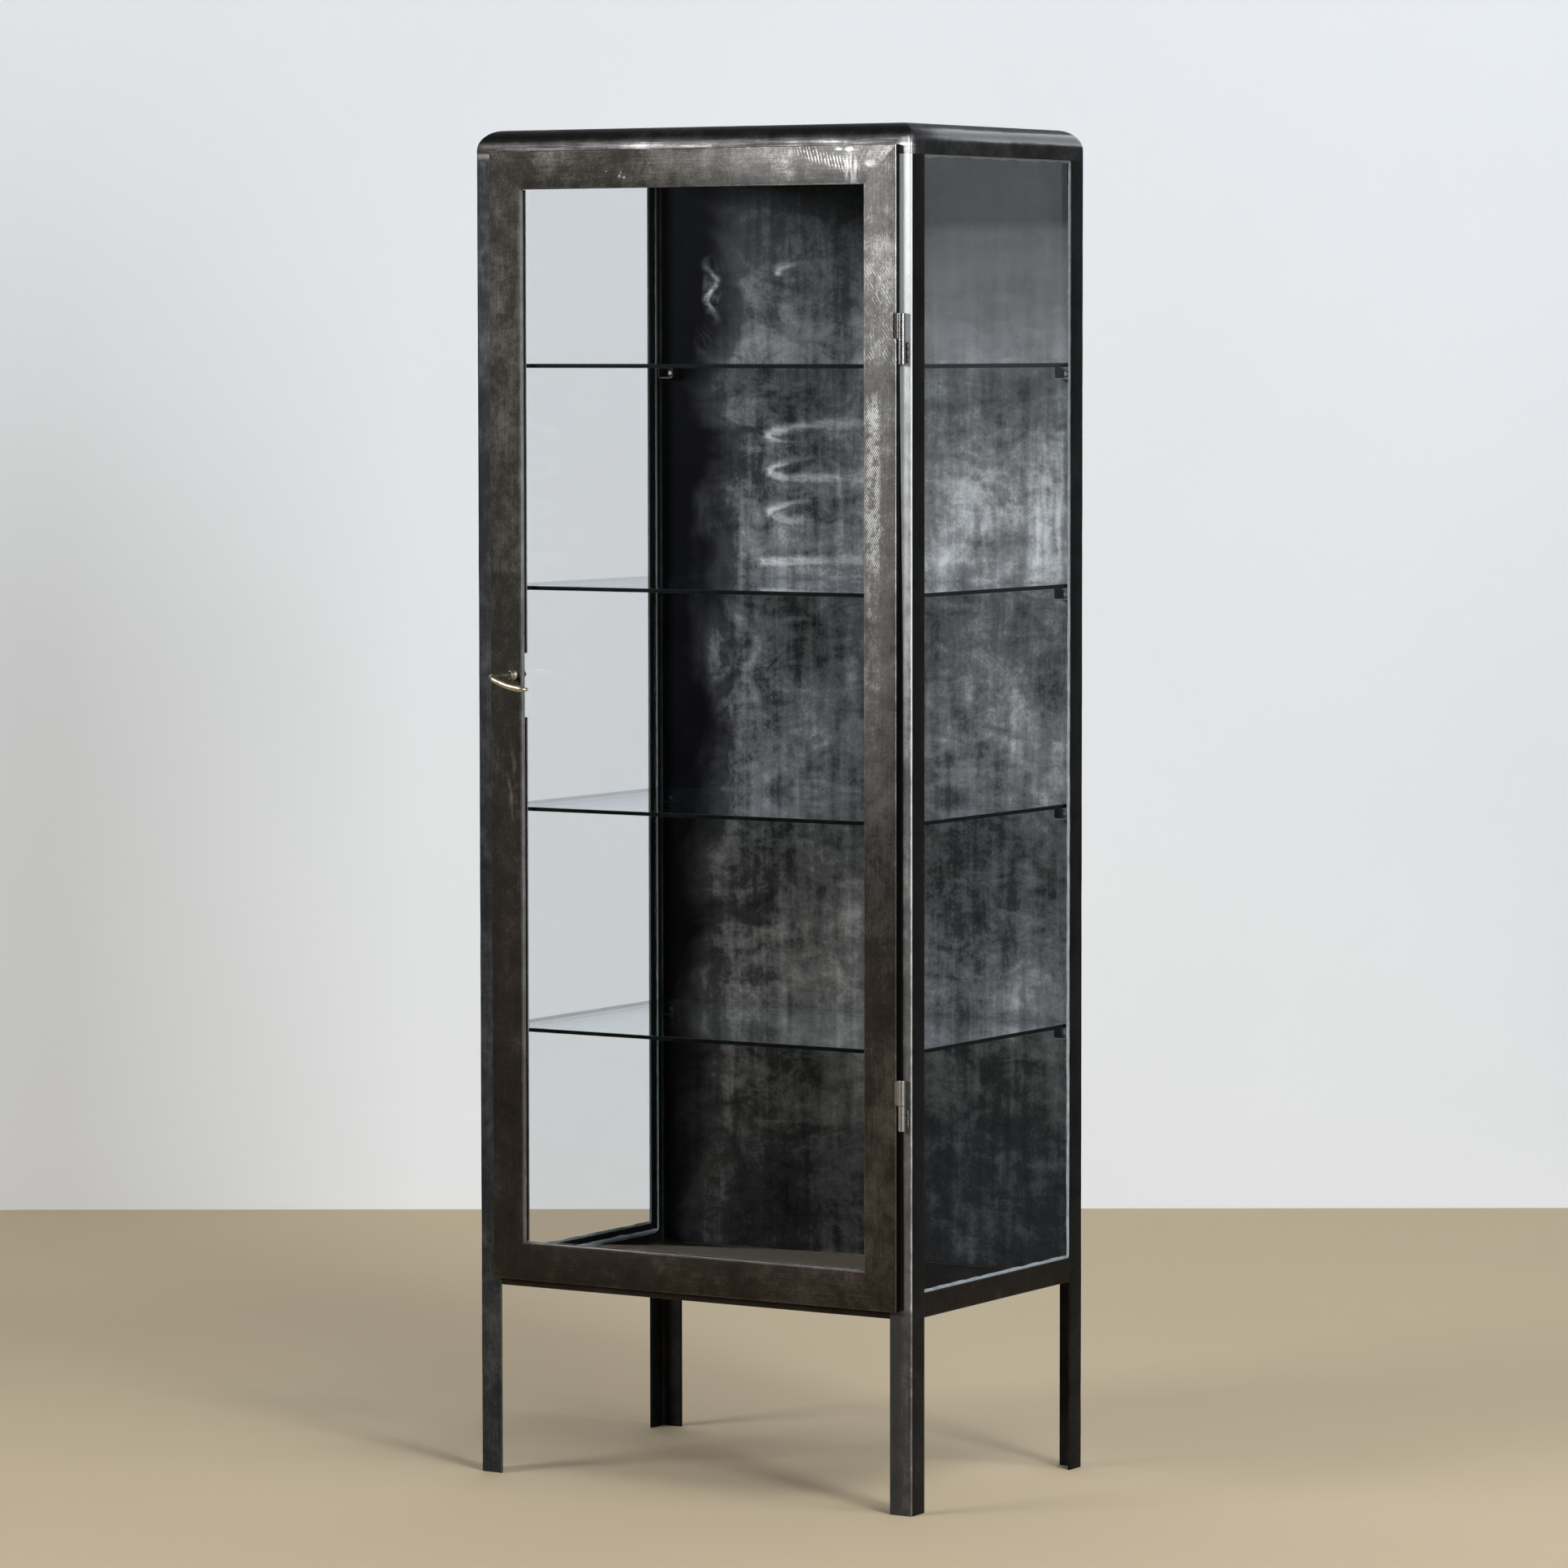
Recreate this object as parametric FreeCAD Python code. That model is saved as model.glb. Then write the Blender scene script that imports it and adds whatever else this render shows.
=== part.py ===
import FreeCAD, Part
import math
import os

os.makedirs("parts", exist_ok=True)

V = FreeCAD.Vector

# ---------------------------------------------------------------- driving dimensions (mm)
# Front faces -Y, right side is +X, floor is Z = 0. The cabinet's carcass is centred on X = 0 and Y = 0 while it is
# drawn; every solid is then moved by y_shift, so that the origin lies under the centre of the whole bounding box.
cab_w = 614.0            # over the posts, X
cab_d = 410.0            # over the posts, Y
cab_h = 1640.0           # floor to top
leg = 30.0               # flange width of the angle steel
ang_t = 3.0              # flange thickness
root_r = 4.0             # inner root radius of the angle
toe_r = 1.6              # rounded inner edge of each flange toe

cap_h = 37.0             # top of cap to lower edge of its skirt
cap_r = 24.0             # outer radius of the cap's edges
cap_t = 3.0              # cap sheet

rail_z = 233.0           # lower edge of the bottom rails
sheet = 2.0              # floor and back sheet

pane_t = 4.0             # side and door panes
pane_lap = 10.0          # side pane's lap behind each flange
putty_w = 4.0            # outer putty, width on the pane
bed_w = 6.0              # inner putty, width on the steel

shelf_z = [1355.5, 1086.5, 817.5, 547.5]   # middle of each shelf's edge
shelf_t = 5.0
shelf_x = 297.0          # half width
shelf_y0 = -196.0        # front edge
shelf_y1 = 197.0         # rear edge

brk_x0, brk_x1 = 276.0, 298.0   # bracket cup, |X| range
brk_d = 14.0             # cup depth from its back plate
brk_h = 15.0             # cup height
brk_t = 1.5
scr_r = 2.0              # bracket screw, shank radius
scr_head_r = 3.4
scr_head_h = 2.2

# door, overlaid on the front flanges
door_x0, door_x1 = -282.0, 291.5
door_z0, door_z1 = 242.5, 1614.0
stile_w = 44.0
rail_w = 46.0
door_gap = 1.0           # between the front flanges and the door's back face
door_t = 9.0             # depth of the door tube
tube_t = 1.5             # wall of the door tube
glass_lap = 5.0          # door pane's lap behind the frame
bead_foot = 12.0
bead_lip = 5.0
bead_t = 1.5             # bead's cover over the pane
bscr_r = 1.5
bscr_head_r = 2.8
bscr_head_h = 1.6

# hinges
hin_x = 297.0
hin_off = 5.5            # axis in front of the front flanges
hin_r = 4.75             # barrel radius
pin_r = 3.0
pin_play = 0.06          # radial play of the pin in the upper knuckle
low_len = 29.0           # lower knuckle
wash_t = 1.0
up_len = 30.0            # upper knuckle
ax_play = 0.3            # axial play over the washer
hin_z = [1386.5, 486.5]  # top of each lower knuckle
notch = 4.0              # notch in the stile for the upper knuckle's leaf

# handle
han_x, han_z = -250.0, 981.5
spin_r = 3.0
spin_play = 0.05
bush_r = 5.0
ros_len = 7.0
tongue_len = 36.0
tongue_w = 12.0
tongue_t = 3.0

# ---------------------------------------------------------------- derived positions
hw, hd = cab_w / 2.0, cab_d / 2.0
yf = -hd                         # front plane of the carcass
yb = hd                          # back plane
cap_z = cab_h - cap_h            # lower edge of the skirt
door_yb = yf - door_gap          # door's back face
door_yf = door_yb - door_t       # door's front face
hin_y = yf - hin_off
lever_front = door_yf - 51.0 - 3.516   # foremost point of the lever
y_shift = -(lever_front + yb) / 2.0

nodes = {}


def box(x0, x1, y0, y1, z0, z1):
    return Part.makeBox(x1 - x0, y1 - y0, z1 - z0, V(x0, y0, z0))


def cyl(r, p, d, length):
    return Part.makeCylinder(r, length, V(*p), V(*d))


def poly(pts):
    return Part.Face(Part.makePolygon([V(*p) for p in pts] + [V(*pts[0])]))


def put(name, *solids):
    nodes[name] = list(solids)


def mirror_x(s):
    return s.mirror(V(0, 0, 0), V(1, 0, 0))


def mirror_y(s):
    return s.mirror(V(0, 0, 0), V(0, 1, 0))


def angle_profile():
    """Angle section with its outer corner at the origin and its flanges along +u and +v, as a list of edges."""
    a, t, r, c = leg, ang_t, root_r, toe_r
    k = math.sqrt(0.5)

    def arc(p0, pm, p1):
        return ("arc", p0, pm, p1)

    return [
        ("line", (0, 0), (a, 0)),
        ("line", (a, 0), (a, t - c)),
        arc((a, t - c), (a - c + c * k, t - c + c * k), (a - c, t)),
        ("line", (a - c, t), (t + r, t)),
        arc((t + r, t), (t + r - r * k, t + r - r * k), (t, t + r)),
        ("line", (t, t + r), (t, a - c)),
        arc((t, a - c), (t - c + c * k, a - c + c * k), (t - c, a)),
        ("line", (t - c, a), (0, a)),
        ("line", (0, a), (0, 0)),
    ]


def angle_bar(org, u, v, direction, length):
    """Extrudes the angle section from org; u and v are the flange directions."""
    o, u, v = V(*org), V(*u), V(*v)

    def P(q):
        return o + u * q[0] + v * q[1]

    edges = []
    for e in angle_profile():
        if e[0] == "line":
            edges.append(Part.makeLine(P(e[1]), P(e[2])))
        else:
            edges.append(Part.Arc(P(e[1]), P(e[2]), P(e[3])).toShape())
    face = Part.Face(Part.Wire(edges))
    return face.extrude(V(*direction) * length)


# ---------------------------------------------------------------- carcass
posts = {}
for name, sx, sy in (("post_front_left", -1, -1), ("post_front_right", 1, -1),
                     ("post_rear_left", -1, 1), ("post_rear_right", 1, 1)):
    posts[name] = angle_bar((sx * hw, sy * hd, 0.0), (-sx, 0, 0), (0, -sy, 0), (0, 0, 1), cap_z)

# rails lie between the posts' flange edges, with the horizontal flange at the bottom
put("rail_bottom_front", angle_bar((-hw + leg, yf, rail_z), (0, 1, 0), (0, 0, 1), (1, 0, 0), cab_w - 2 * leg))
put("rail_bottom_rear", angle_bar((-hw + leg, yb, rail_z), (0, -1, 0), (0, 0, 1), (1, 0, 0), cab_w - 2 * leg))
put("rail_bottom_left", angle_bar((-hw, yf + leg, rail_z), (1, 0, 0), (0, 0, 1), (0, 1, 0), cab_d - 2 * leg))
put("rail_bottom_right", angle_bar((hw, yf + leg, rail_z), (-1, 0, 0), (0, 0, 1), (0, 1, 0), cab_d - 2 * leg))


def rounded_slab(x, y, z0, z1, r):
    """Block with its four upper edges rounded and mitred at the corners."""
    k = math.sqrt(0.5)

    def profile(h, put3):
        pts = [(-h, z0), (-h, z1 - r), (-h + r - r * k, z1 - r + r * k), (-h + r, z1),
               (h - r, z1), (h - r + r * k, z1 - r + r * k), (h, z1 - r), (h, z0)]
        q = [put3(*p) for p in pts]
        return Part.Face(Part.Wire([
            Part.makeLine(q[0], q[1]), Part.Arc(q[1], q[2], q[3]).toShape(), Part.makeLine(q[3], q[4]),
            Part.Arc(q[4], q[5], q[6]).toShape(), Part.makeLine(q[6], q[7]), Part.makeLine(q[7], q[0])]))

    a = profile(x, lambda u, z: V(u, -y, z)).extrude(V(0, 2 * y, 0))
    b = profile(y, lambda u, z: V(-x, u, z)).extrude(V(2 * x, 0, 0))
    return a.common(b)


cap = rounded_slab(hw, hd, cap_z, cab_h, cap_r).cut(
    rounded_slab(hw - cap_t, hd - cap_t, cap_z - 1.0, cab_h - cap_t, cap_r - cap_t))
put("top_cap", cap)

floor_z = rail_z + ang_t
fx = hw - ang_t - root_r - 0.3          # the edges stay clear of the rails' root radii
floor = box(-fx, fx, yf + ang_t + root_r + 0.3, yb - ang_t - root_r - 0.3, floor_z, floor_z + sheet)

back_x = hw - ang_t - root_r - 0.5
back_y1 = yb - ang_t
back_y0 = back_y1 - sheet
back = box(-back_x, back_x, back_y0, back_y1, floor_z + root_r + 0.5, cab_h - cap_r - 1.0)

# ---------------------------------------------------------------- side glazing
pane_x1 = hw - ang_t
pane_x0 = pane_x1 - pane_t
oy = hd - leg                      # half length of the side opening
oz0, oz1 = rail_z + leg, cap_z     # side opening
py = oy + pane_lap
pz0, pz1 = oz0 - 9.0, oz1 + 7.0
pane = box(pane_x0, pane_x1, -py, py, pz0, pz1)
put("side_glass_right", pane)
put("side_glass_left", mirror_x(pane))


def round_rect(x, y0, y1, z0, z1, r):
    """Closed wire in a plane of constant X."""
    if r <= 0:
        return Part.makePolygon([V(x, y0, z0), V(x, y1, z0), V(x, y1, z1), V(x, y0, z1), V(x, y0, z0)])
    k = r - r * math.sqrt(0.5)
    q = [V(x, y0 + r, z0), V(x, y1 - r, z0), V(x, y1 - k, z0 + k), V(x, y1, z0 + r), V(x, y1, z1 - r),
         V(x, y1 - k, z1 - k), V(x, y1 - r, z1), V(x, y0 + r, z1), V(x, y0 + k, z1 - k), V(x, y0, z1 - r),
         V(x, y0, z0 + r), V(x, y0 + k, z0 + k)]
    return Part.Wire([
        Part.makeLine(q[0], q[1]), Part.Arc(q[1], q[2], q[3]).toShape(), Part.makeLine(q[3], q[4]),
        Part.Arc(q[4], q[5], q[6]).toShape(), Part.makeLine(q[6], q[7]), Part.Arc(q[7], q[8], q[9]).toShape(),
        Part.makeLine(q[9], q[10]), Part.Arc(q[10], q[11], q[0]).toShape()])


# outer putty: a triangular fillet from the flanges' outer edge down to the pane, rounder in its corners
px1 = hw - 0.6
ring = box(pane_x1, px1, -oy, oy, oz0, oz1)
w = putty_w
hole = Part.makeLoft([round_rect(pane_x1 - 0.01, -oy + w, oy - w, oz0 + w, oz1 - w, 7.0),
                      round_rect(px1 + 0.01, -oy + 0.5, oy - 0.5, oz0 + 0.5, oz1 - 0.5, 3.0)], True, True)
putty = ring.cut(hole)
put("side_putty_right", putty)
put("side_putty_left", mirror_x(putty))

# inner putty: a wedge from the pane's edge out on to the flanges' inner faces
w = bed_w
bed = Part.makeLoft([round_rect(pane_x1, -py - w, py + w, pz0 - w, pz1 + w, 7.0),
                     round_rect(pane_x0, -py - 0.5, py + 0.5, pz0 - 0.5, pz1 + 0.5, 1.5)], True, True)
bed = bed.cut(box(pane_x0 - 1.0, pane_x1 + 1.0, -py, py, pz0, pz1))
put("side_bed_right", bed)
put("side_bed_left", mirror_x(bed))

# ---------------------------------------------------------------- shelves, brackets and their screws
for i, z in enumerate(shelf_z):
    s = box(-shelf_x, shelf_x, shelf_y0, shelf_y1, z - shelf_t / 2, z + shelf_t / 2)
    s = s.makeFillet(0.8, [e for e in s.Edges])
    put("shelf_%d" % (i + 1), s)

brk_xm = (brk_x0 + brk_x1) / 2.0
scr_drop = 8.5           # screw below the shelf's underside
rear_hole, front_hole = [], []
scr_rear, scr_front = [], []


def bracket(ztop):
    """Cup at the rear right corner: back plate, floor and two cheeks, open to the front and the top."""
    r_out, r_in = 3.5, 2.0
    outer = box(brk_x0, brk_x1, back_y0 - brk_d, back_y0, ztop - brk_h, ztop)
    low = [e for e in outer.Edges if abs(e.CenterOfMass.z - (ztop - brk_h)) < 1e-6
           and abs(e.CenterOfMass.y - (back_y0 - brk_d / 2)) < 1e-6]
    outer = outer.makeFillet(r_out, low)
    inner = box(brk_x0 + brk_t, brk_x1 - brk_t, back_y0 - brk_d - 1.0, back_y0 - brk_t, ztop - brk_h + brk_t, ztop + 20.0)
    low = [e for e in inner.Edges if abs(e.CenterOfMass.z - (ztop - brk_h + brk_t)) < 1e-6
           and abs(e.CenterOfMass.x - brk_x0 - brk_t) < 1e-6 or abs(e.CenterOfMass.z - (ztop - brk_h + brk_t)) < 1e-6
           and abs(e.CenterOfMass.x - brk_x1 + brk_t) < 1e-6]
    inner = inner.makeFillet(r_in, low)
    b = outer.cut(inner)
    return b.cut(cyl(scr_r + 0.05, (brk_xm, back_y0 + 1.0, ztop - scr_drop), (0, -1, 0), brk_t + 2.0))


def screw(y_face, ztop, depth):
    """Pan-head screw: the head's seat is at y_face, the shank goes towards +Y by depth."""
    z = ztop - scr_drop
    head = cyl(scr_head_r, (brk_xm, y_face, z), (0, -1, 0), scr_head_h)
    rim = [e for e in head.Edges if abs(e.CenterOfMass.y - (y_face - scr_head_h)) < 1e-6]
    head = head.makeFillet(1.3, rim)
    s = head.fuse(cyl(scr_r, (brk_xm, y_face, z), (0, 1, 0), depth)).removeSplitter()
    slot = box(brk_xm - scr_head_r, brk_xm + scr_head_r, y_face - scr_head_h - 1.0, y_face - scr_head_h + 0.9,
               z - 0.45, z + 0.45)
    return s.cut(slot)


front_face = yf + ang_t            # inner face of the front flanges
dy_front = back_y0 + front_face    # a rear bracket mirrored to the front lands on the front flange's inner face
for i, z in enumerate(shelf_z):
    zt = z - shelf_t / 2
    b = bracket(zt)
    bf = mirror_y(b)
    bf.translate(V(0, dy_front, 0))
    put("brackets_%d" % (i + 1), b, mirror_x(b), bf, mirror_x(bf))
    s = screw(back_y0 - brk_t, zt, brk_t + sheet + 2.0)
    scr_rear += [s, mirror_x(s)]
    h = cyl(scr_r + 0.05, (brk_xm, back_y0 - 1.0, zt - scr_drop), (0, 1, 0), 1.0 + sheet + 2.2)
    rear_hole += [h, mirror_x(h)]
    f = screw(back_y0 - brk_t, zt, brk_t + 2.0)
    f = mirror_y(f)
    f.translate(V(0, dy_front, 0))
    scr_front += [f, mirror_x(f)]
    h = cyl(scr_r + 0.05, (brk_xm, front_face + 1.0, zt - scr_drop), (0, -1, 0), 1.0 + 2.2)
    front_hole += [h, mirror_x(h)]
put("bracket_screws_rear", *scr_rear)
put("bracket_screws_front", *scr_front)

put("back_panel", back.cut(Part.makeCompound(rear_hole)))
put("floor_panel", floor)
for name in posts:
    holes = rear_hole if "rear" in name else front_hole
    put(name, posts[name].cut(Part.makeCompound(holes)))

# ---------------------------------------------------------------- hinges
low_k, pins, washers, welds, up_k, notches = [], [], [], [], [], []
for z in hin_z:
    barrel = cyl(hin_r, (hin_x, hin_y, z - low_len), (0, 0, 1), low_len)
    ends = [e for e in barrel.Edges if abs(e.CenterOfMass.z - (z - low_len)) < 1e-6 and abs(e.CenterOfMass.x - hin_x) < 1e-6]
    barrel = barrel.makeFillet(0.9, ends)
    low_k.append(barrel.cut(cyl(pin_r + 0.02, (hin_x, hin_y, z - 20.0), (0, 0, 1), 21.0)))

    pin = cyl(pin_r, (hin_x, hin_y, z - 20.0), (0, 0, 1), 20.0 + wash_t + ax_play + 22.0)
    tip = [e for e in pin.Edges if abs(e.CenterOfMass.z - (z + wash_t + ax_play + 22.0)) < 1e-6]
    pins.append(pin.makeChamfer(1.0, tip))

    washers.append(cyl(hin_r + 0.35, (hin_x, hin_y, z), (0, 0, 1), wash_t).cut(
        cyl(pin_r + 0.02, (hin_x, hin_y, z - 1.0), (0, 0, 1), wash_t + 2.0)))

    # weld between the lower knuckle and the post's front flange
    seg = poly([(hin_x - 3.2, yf, z - low_len + 1.0), (hin_x + 8.2, yf, z - low_len + 1.0),
                (hin_x + 7.2, yf - 1.7, z - low_len + 1.0), (hin_x + 4.0, yf - 3.3, z - low_len + 1.0),
                (hin_x, hin_y, z - low_len + 1.0), (hin_x - 2.6, yf - 1.4, z - low_len + 1.0)])
    seg = seg.extrude(V(0, 0, low_len - 3.0))
    welds.append(seg.cut(cyl(hin_r + 0.02, (hin_x, hin_y, z - low_len - 5.0), (0, 0, 1), low_len + 10.0)))

    z0 = z + wash_t + ax_play
    k = cyl(hin_r, (hin_x, hin_y, z0), (0, 0, 1), up_len)
    top = [e for e in k.Edges if abs(e.CenterOfMass.z - (z0 + up_len)) < 1e-6]
    k = k.makeFillet(0.9, top)
    leaf = box(door_x1 - notch, hin_x, door_yf + 1.2, door_yb - 1.0, z0 + 0.3, z0 + up_len - 0.3)
    k = k.fuse(leaf).removeSplitter()
    up_k.append(k.cut(cyl(pin_r + pin_play, (hin_x, hin_y, z0 - 1.0), (0, 0, 1), 1.0 + 24.0)))
    notches.append(box(door_x1 - notch, door_x1 + 1.0, door_yf - 1.0, door_yb + 1.0, z0, z0 + up_len))
put("hinge_lower_knuckles", *low_k)
put("hinge_pins", *pins)
put("hinge_washers", *washers)
put("hinge_welds", *welds)
put("hinge_upper_knuckles", *up_k)

# ---------------------------------------------------------------- door frame
ix0, ix1 = door_x0 + stile_w, door_x1 - stile_w     # door opening
iz0, iz1 = door_z0 + rail_w, door_z1 - rail_w
t = tube_t


def member(corners, void):
    m = poly([(x, door_yf, z) for x, z in corners]).extrude(V(0, door_t, 0))
    x0, x1, z0, z1 = void
    return m.cut(box(x0, x1, door_yf + t, door_yb - t, z0, z1))


stile_l = member([(door_x0, door_z0), (ix0, iz0), (ix0, iz1), (door_x0, door_z1)],
                 (door_x0 + t, ix0 - t, door_z0 - 9, door_z1 + 9))
stile_r = member([(door_x1, door_z0), (door_x1, door_z1), (ix1, iz1), (ix1, iz0)],
                 (ix1 + t, door_x1 - t, door_z0 - 9, door_z1 + 9))
rail_t = member([(door_x0, door_z1), (ix0, iz1), (ix1, iz1), (door_x1, door_z1)],
                (door_x0 - 9, door_x1 + 9, iz1 + t, door_z1 - t))
rail_b = member([(door_x0, door_z0), (door_x1, door_z0), (ix1, iz0), (ix0, iz0)],
                (door_x0 - 9, door_x1 + 9, door_z0 + t, iz0 - t))

stile_l = stile_l.cut(cyl(bush_r + 0.02, (han_x, door_yf - 1, han_z), (0, 1, 0), door_t + 2))
stile_r = stile_r.cut(Part.makeCompound(notches))

# pane
gx0, gx1, gz0, gz1 = ix0 - glass_lap, ix1 + glass_lap, iz0 - glass_lap, iz1 + glass_lap
gy0, gy1 = door_yb, door_yb + pane_t
put("door_glass", box(gx0, gx1, gy0, gy1, gz0, gz1))

# beads: a foot on the tube's back wall beside the pane and a lip over the pane's edge
by1 = gy1 + bead_t
bead_gap = 0.5


def hbead(zi, sign):
    """Horizontal bead; sign points away from the opening."""
    a = sorted((zi + sign * bead_gap, zi + sign * (bead_gap + bead_foot)))
    c = sorted((zi - sign * bead_lip, zi + sign * (bead_gap + bead_foot)))
    x0, x1 = gx0 - bead_gap - bead_foot, gx1 + bead_gap + bead_foot
    return box(x0, x1, door_yb, by1, *a).fuse(box(x0, x1, gy1, by1, *c)).removeSplitter()


def vbead(xi, sign, z0, z1):
    a = sorted((xi + sign * bead_gap, xi + sign * (bead_gap + bead_foot)))
    c = sorted((xi - sign * bead_lip, xi + sign * (bead_gap + bead_foot)))
    return box(a[0], a[1], door_yb, by1, z0, z1).fuse(box(c[0], c[1], gy1, by1, z0, z1)).removeSplitter()


vz0, vz1 = gz0 + bead_lip + 0.5, gz1 - bead_lip - 0.5
lat_lo, lat_hi = han_z - 52.0, han_z + 26.0          # gap in the left bead for the latch
beads = {
    "bead_top": hbead(gz1, 1), "bead_bottom": hbead(gz0, -1), "bead_right": vbead(gx1, 1, vz0, vz1),
    "bead_left_lower": vbead(gx0, -1, vz0, lat_lo), "bead_left_upper": vbead(gx0, -1, lat_hi, vz1)}
mid_x0, mid_x1 = gx0 - bead_gap - bead_foot / 2, gx1 + bead_gap + bead_foot / 2
mid_z0, mid_z1 = gz0 - bead_gap - bead_foot / 2, gz1 + bead_gap + bead_foot / 2
spots = []
for k in range(4):
    x = mid_x0 + 12 + (mid_x1 - mid_x0 - 24) * k / 3.0
    spots += [(x, mid_z0), (x, mid_z1)]
for k in range(6):
    spots.append((mid_x1, vz0 + 18 + (vz1 - vz0 - 36) * k / 5.0))
for k in range(3):
    spots.append((mid_x0, vz0 + 18 + (lat_lo - vz0 - 36) * k / 2.0))
    spots.append((mid_x0, lat_hi + 18 + (vz1 - lat_hi - 36) * k / 2.0))
bscrews, bholes = [], []
for x, z in spots:
    head = cyl(bscr_head_r, (x, by1, z), (0, 1, 0), bscr_head_h)
    rim = [e for e in head.Edges if abs(e.CenterOfMass.y - (by1 + bscr_head_h)) < 1e-6]
    head = head.makeFillet(1.0, rim)
    s = head.fuse(cyl(bscr_r, (x, by1, z), (0, -1, 0), by1 - door_yb + t)).removeSplitter()
    s = s.cut(box(x - 4, x + 4, by1 + bscr_head_h - 0.7, by1 + 5, z - 0.35, z + 0.35))
    bscrews.append(s)
    bholes.append(cyl(bscr_r + 0.05, (x, door_yb - t - 0.5, z), (0, 1, 0), by1 - door_yb + t + 1.5))
bh = Part.makeCompound(bholes)
for n in beads:
    put(n, beads[n].cut(bh))
put("bead_screws", *bscrews)
put("door_stile_left", stile_l.cut(bh))
put("door_stile_right", stile_r.cut(bh))
put("door_rail_top", rail_t.cut(bh))
put("door_rail_bottom", rail_b.cut(bh))

# ---------------------------------------------------------------- handle and latch
ros_y = door_yf - ros_len


def turned(pts):
    """Solid of revolution about the spindle; pts are (y, r) from front to back, starting and ending on the axis."""
    q = [V(han_x + r, y, han_z) for y, r in pts]
    face = Part.Face(Part.makePolygon(q + [q[0]]))
    return face.revolve(V(han_x, 0, han_z), V(0, 1, 0), 360)


bore = spin_r + spin_play
ros = turned([(ros_y, bore), (ros_y, 4.7), (ros_y + 1.2, 5.3), (ros_y + 2.6, 5.1), (ros_y + 3.6, 5.6), (ros_y + 5.4, 6.7),
              (door_yf - 0.6, 7.2), (door_yf, 7.2), (door_yf, bush_r), (door_yb + 3.0, bush_r), (door_yb + 3.0, bore)])
put("handle_rosette", ros)

# ring nut, with one of its flats towards the pane's edge
hexpts = [(han_x + 7.2 * math.cos(math.radians(60 * k + 30)), door_yb, han_z + 7.2 * math.sin(math.radians(60 * k + 30)))
          for k in range(6)]
put("bush_nut", poly(hexpts).extrude(V(0, 2.5, 0)).cut(cyl(bush_r + 0.02, (han_x, door_yb - 1, han_z), (0, 1, 0), 5.0)))

spacer_y0 = door_yb + 3.0 + 0.3
tongue_y0 = yf + ang_t + 2.0
tongue_y1 = tongue_y0 + tongue_t
nut_y1 = tongue_y1 + 3.5
lev_y = ros_y - 0.3                      # back of the lever's hub
spin = cyl(spin_r, (han_x, lev_y - 12.0, han_z), (0, 1, 0), nut_y1 + 1.0 - lev_y + 12.0)
put("handle_spindle", spin)
put("latch_spacer", cyl(5.0, (han_x, spacer_y0, han_z), (0, 1, 0), tongue_y0 - spacer_y0).cut(
    cyl(spin_r + 0.02, (han_x, spacer_y0 - 1, han_z), (0, 1, 0), tongue_y0 - spacer_y0 + 2)))
hexpts = [(han_x + 5.77 * math.cos(math.radians(60 * k)), tongue_y1, han_z + 5.77 * math.sin(math.radians(60 * k)))
          for k in range(6)]
put("latch_nut", poly(hexpts).extrude(V(0, nut_y1 - tongue_y1, 0)).cut(
    cyl(spin_r + 0.02, (han_x, tongue_y1 - 1, han_z), (0, 1, 0), 6.0)))

# tongue: 15 degrees from straight down at rest, turned up behind the left flange when the lever points down
tip_a = math.radians(15.0)
hw_t = tongue_w / 2.0
ton = box(-hw_t, hw_t, 0, tongue_t, -tongue_len + 3.0, 0)
ton = ton.fuse(cyl(hw_t + 1.0, (0, 0, 0), (0, 1, 0), tongue_t))
ton = ton.fuse(box(-hw_t + 3.0, hw_t - 3.0, 0, tongue_t, -tongue_len, -tongue_len + 3.0))
ton = ton.fuse(cyl(3.0, (-hw_t + 3.0, 0, -tongue_len + 3.0), (0, 1, 0), tongue_t))
ton = ton.fuse(cyl(3.0, (hw_t - 3.0, 0, -tongue_len + 3.0), (0, 1, 0), tongue_t)).removeSplitter()
ton = ton.cut(cyl(spin_r + 0.02, (0, -1, 0), (0, 1, 0), tongue_t + 2))
ton.rotate(V(0, 0, 0), V(0, 1, 0), math.degrees(tip_a))
ton.translate(V(han_x, tongue_y0, han_z))
put("latch_tongue", ton)

# lever: a tapering shank out of the hub, a tight elbow, and a slightly hanging grip with a small end knob
el_y = door_yf - 51.0                    # grip's centre line in front of the door
bend = 9.0
drop = math.radians(26.0)
g = (math.cos(drop), 0.0, -math.sin(drop))
path = []                                # (x, y, z, half height, half depth)
for y, r in ((lev_y, 4.4), (lev_y - 4.0, 3.9), (lev_y - 12.0, 3.45), (lev_y - 24.0, 3.3), (el_y + bend + 2.0, 3.25)):
    path.append((han_x, y, han_z, r, r))
for k in range(0, 5):
    a = math.radians(90.0 * k / 4.0)
    u, v = bend * (1 - math.cos(a)), bend * math.sin(a)
    path.append((han_x + g[0] * u, el_y + bend - v, han_z + g[2] * u, 3.3 + 0.05 * k, 3.25))
for dx, dz, dy, r1, r2 in ((14.0, -6.2, 0.0, 3.6, 3.2), (21.0, -8.7, -0.2, 3.8, 3.25), (30.0, -11.2, -0.1, 4.0, 3.3),
                           (39.0, -13.0, 0.3, 4.1, 3.3), (45.5, -13.9, 0.7, 3.9, 3.2), (48.6, -14.2, 0.9, 3.0, 2.6),
                           (50.4, -14.35, 1.0, 2.35, 2.2), (53.4, -14.5, 1.2, 2.25, 2.15), (55.2, -14.6, 1.3, 1.5, 1.5),
                           (55.8, -14.6, 1.35, 0.6, 0.6)):
    path.append((han_x + dx, el_y + dy, han_z + dz, r1, r2))
wires = []
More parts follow.
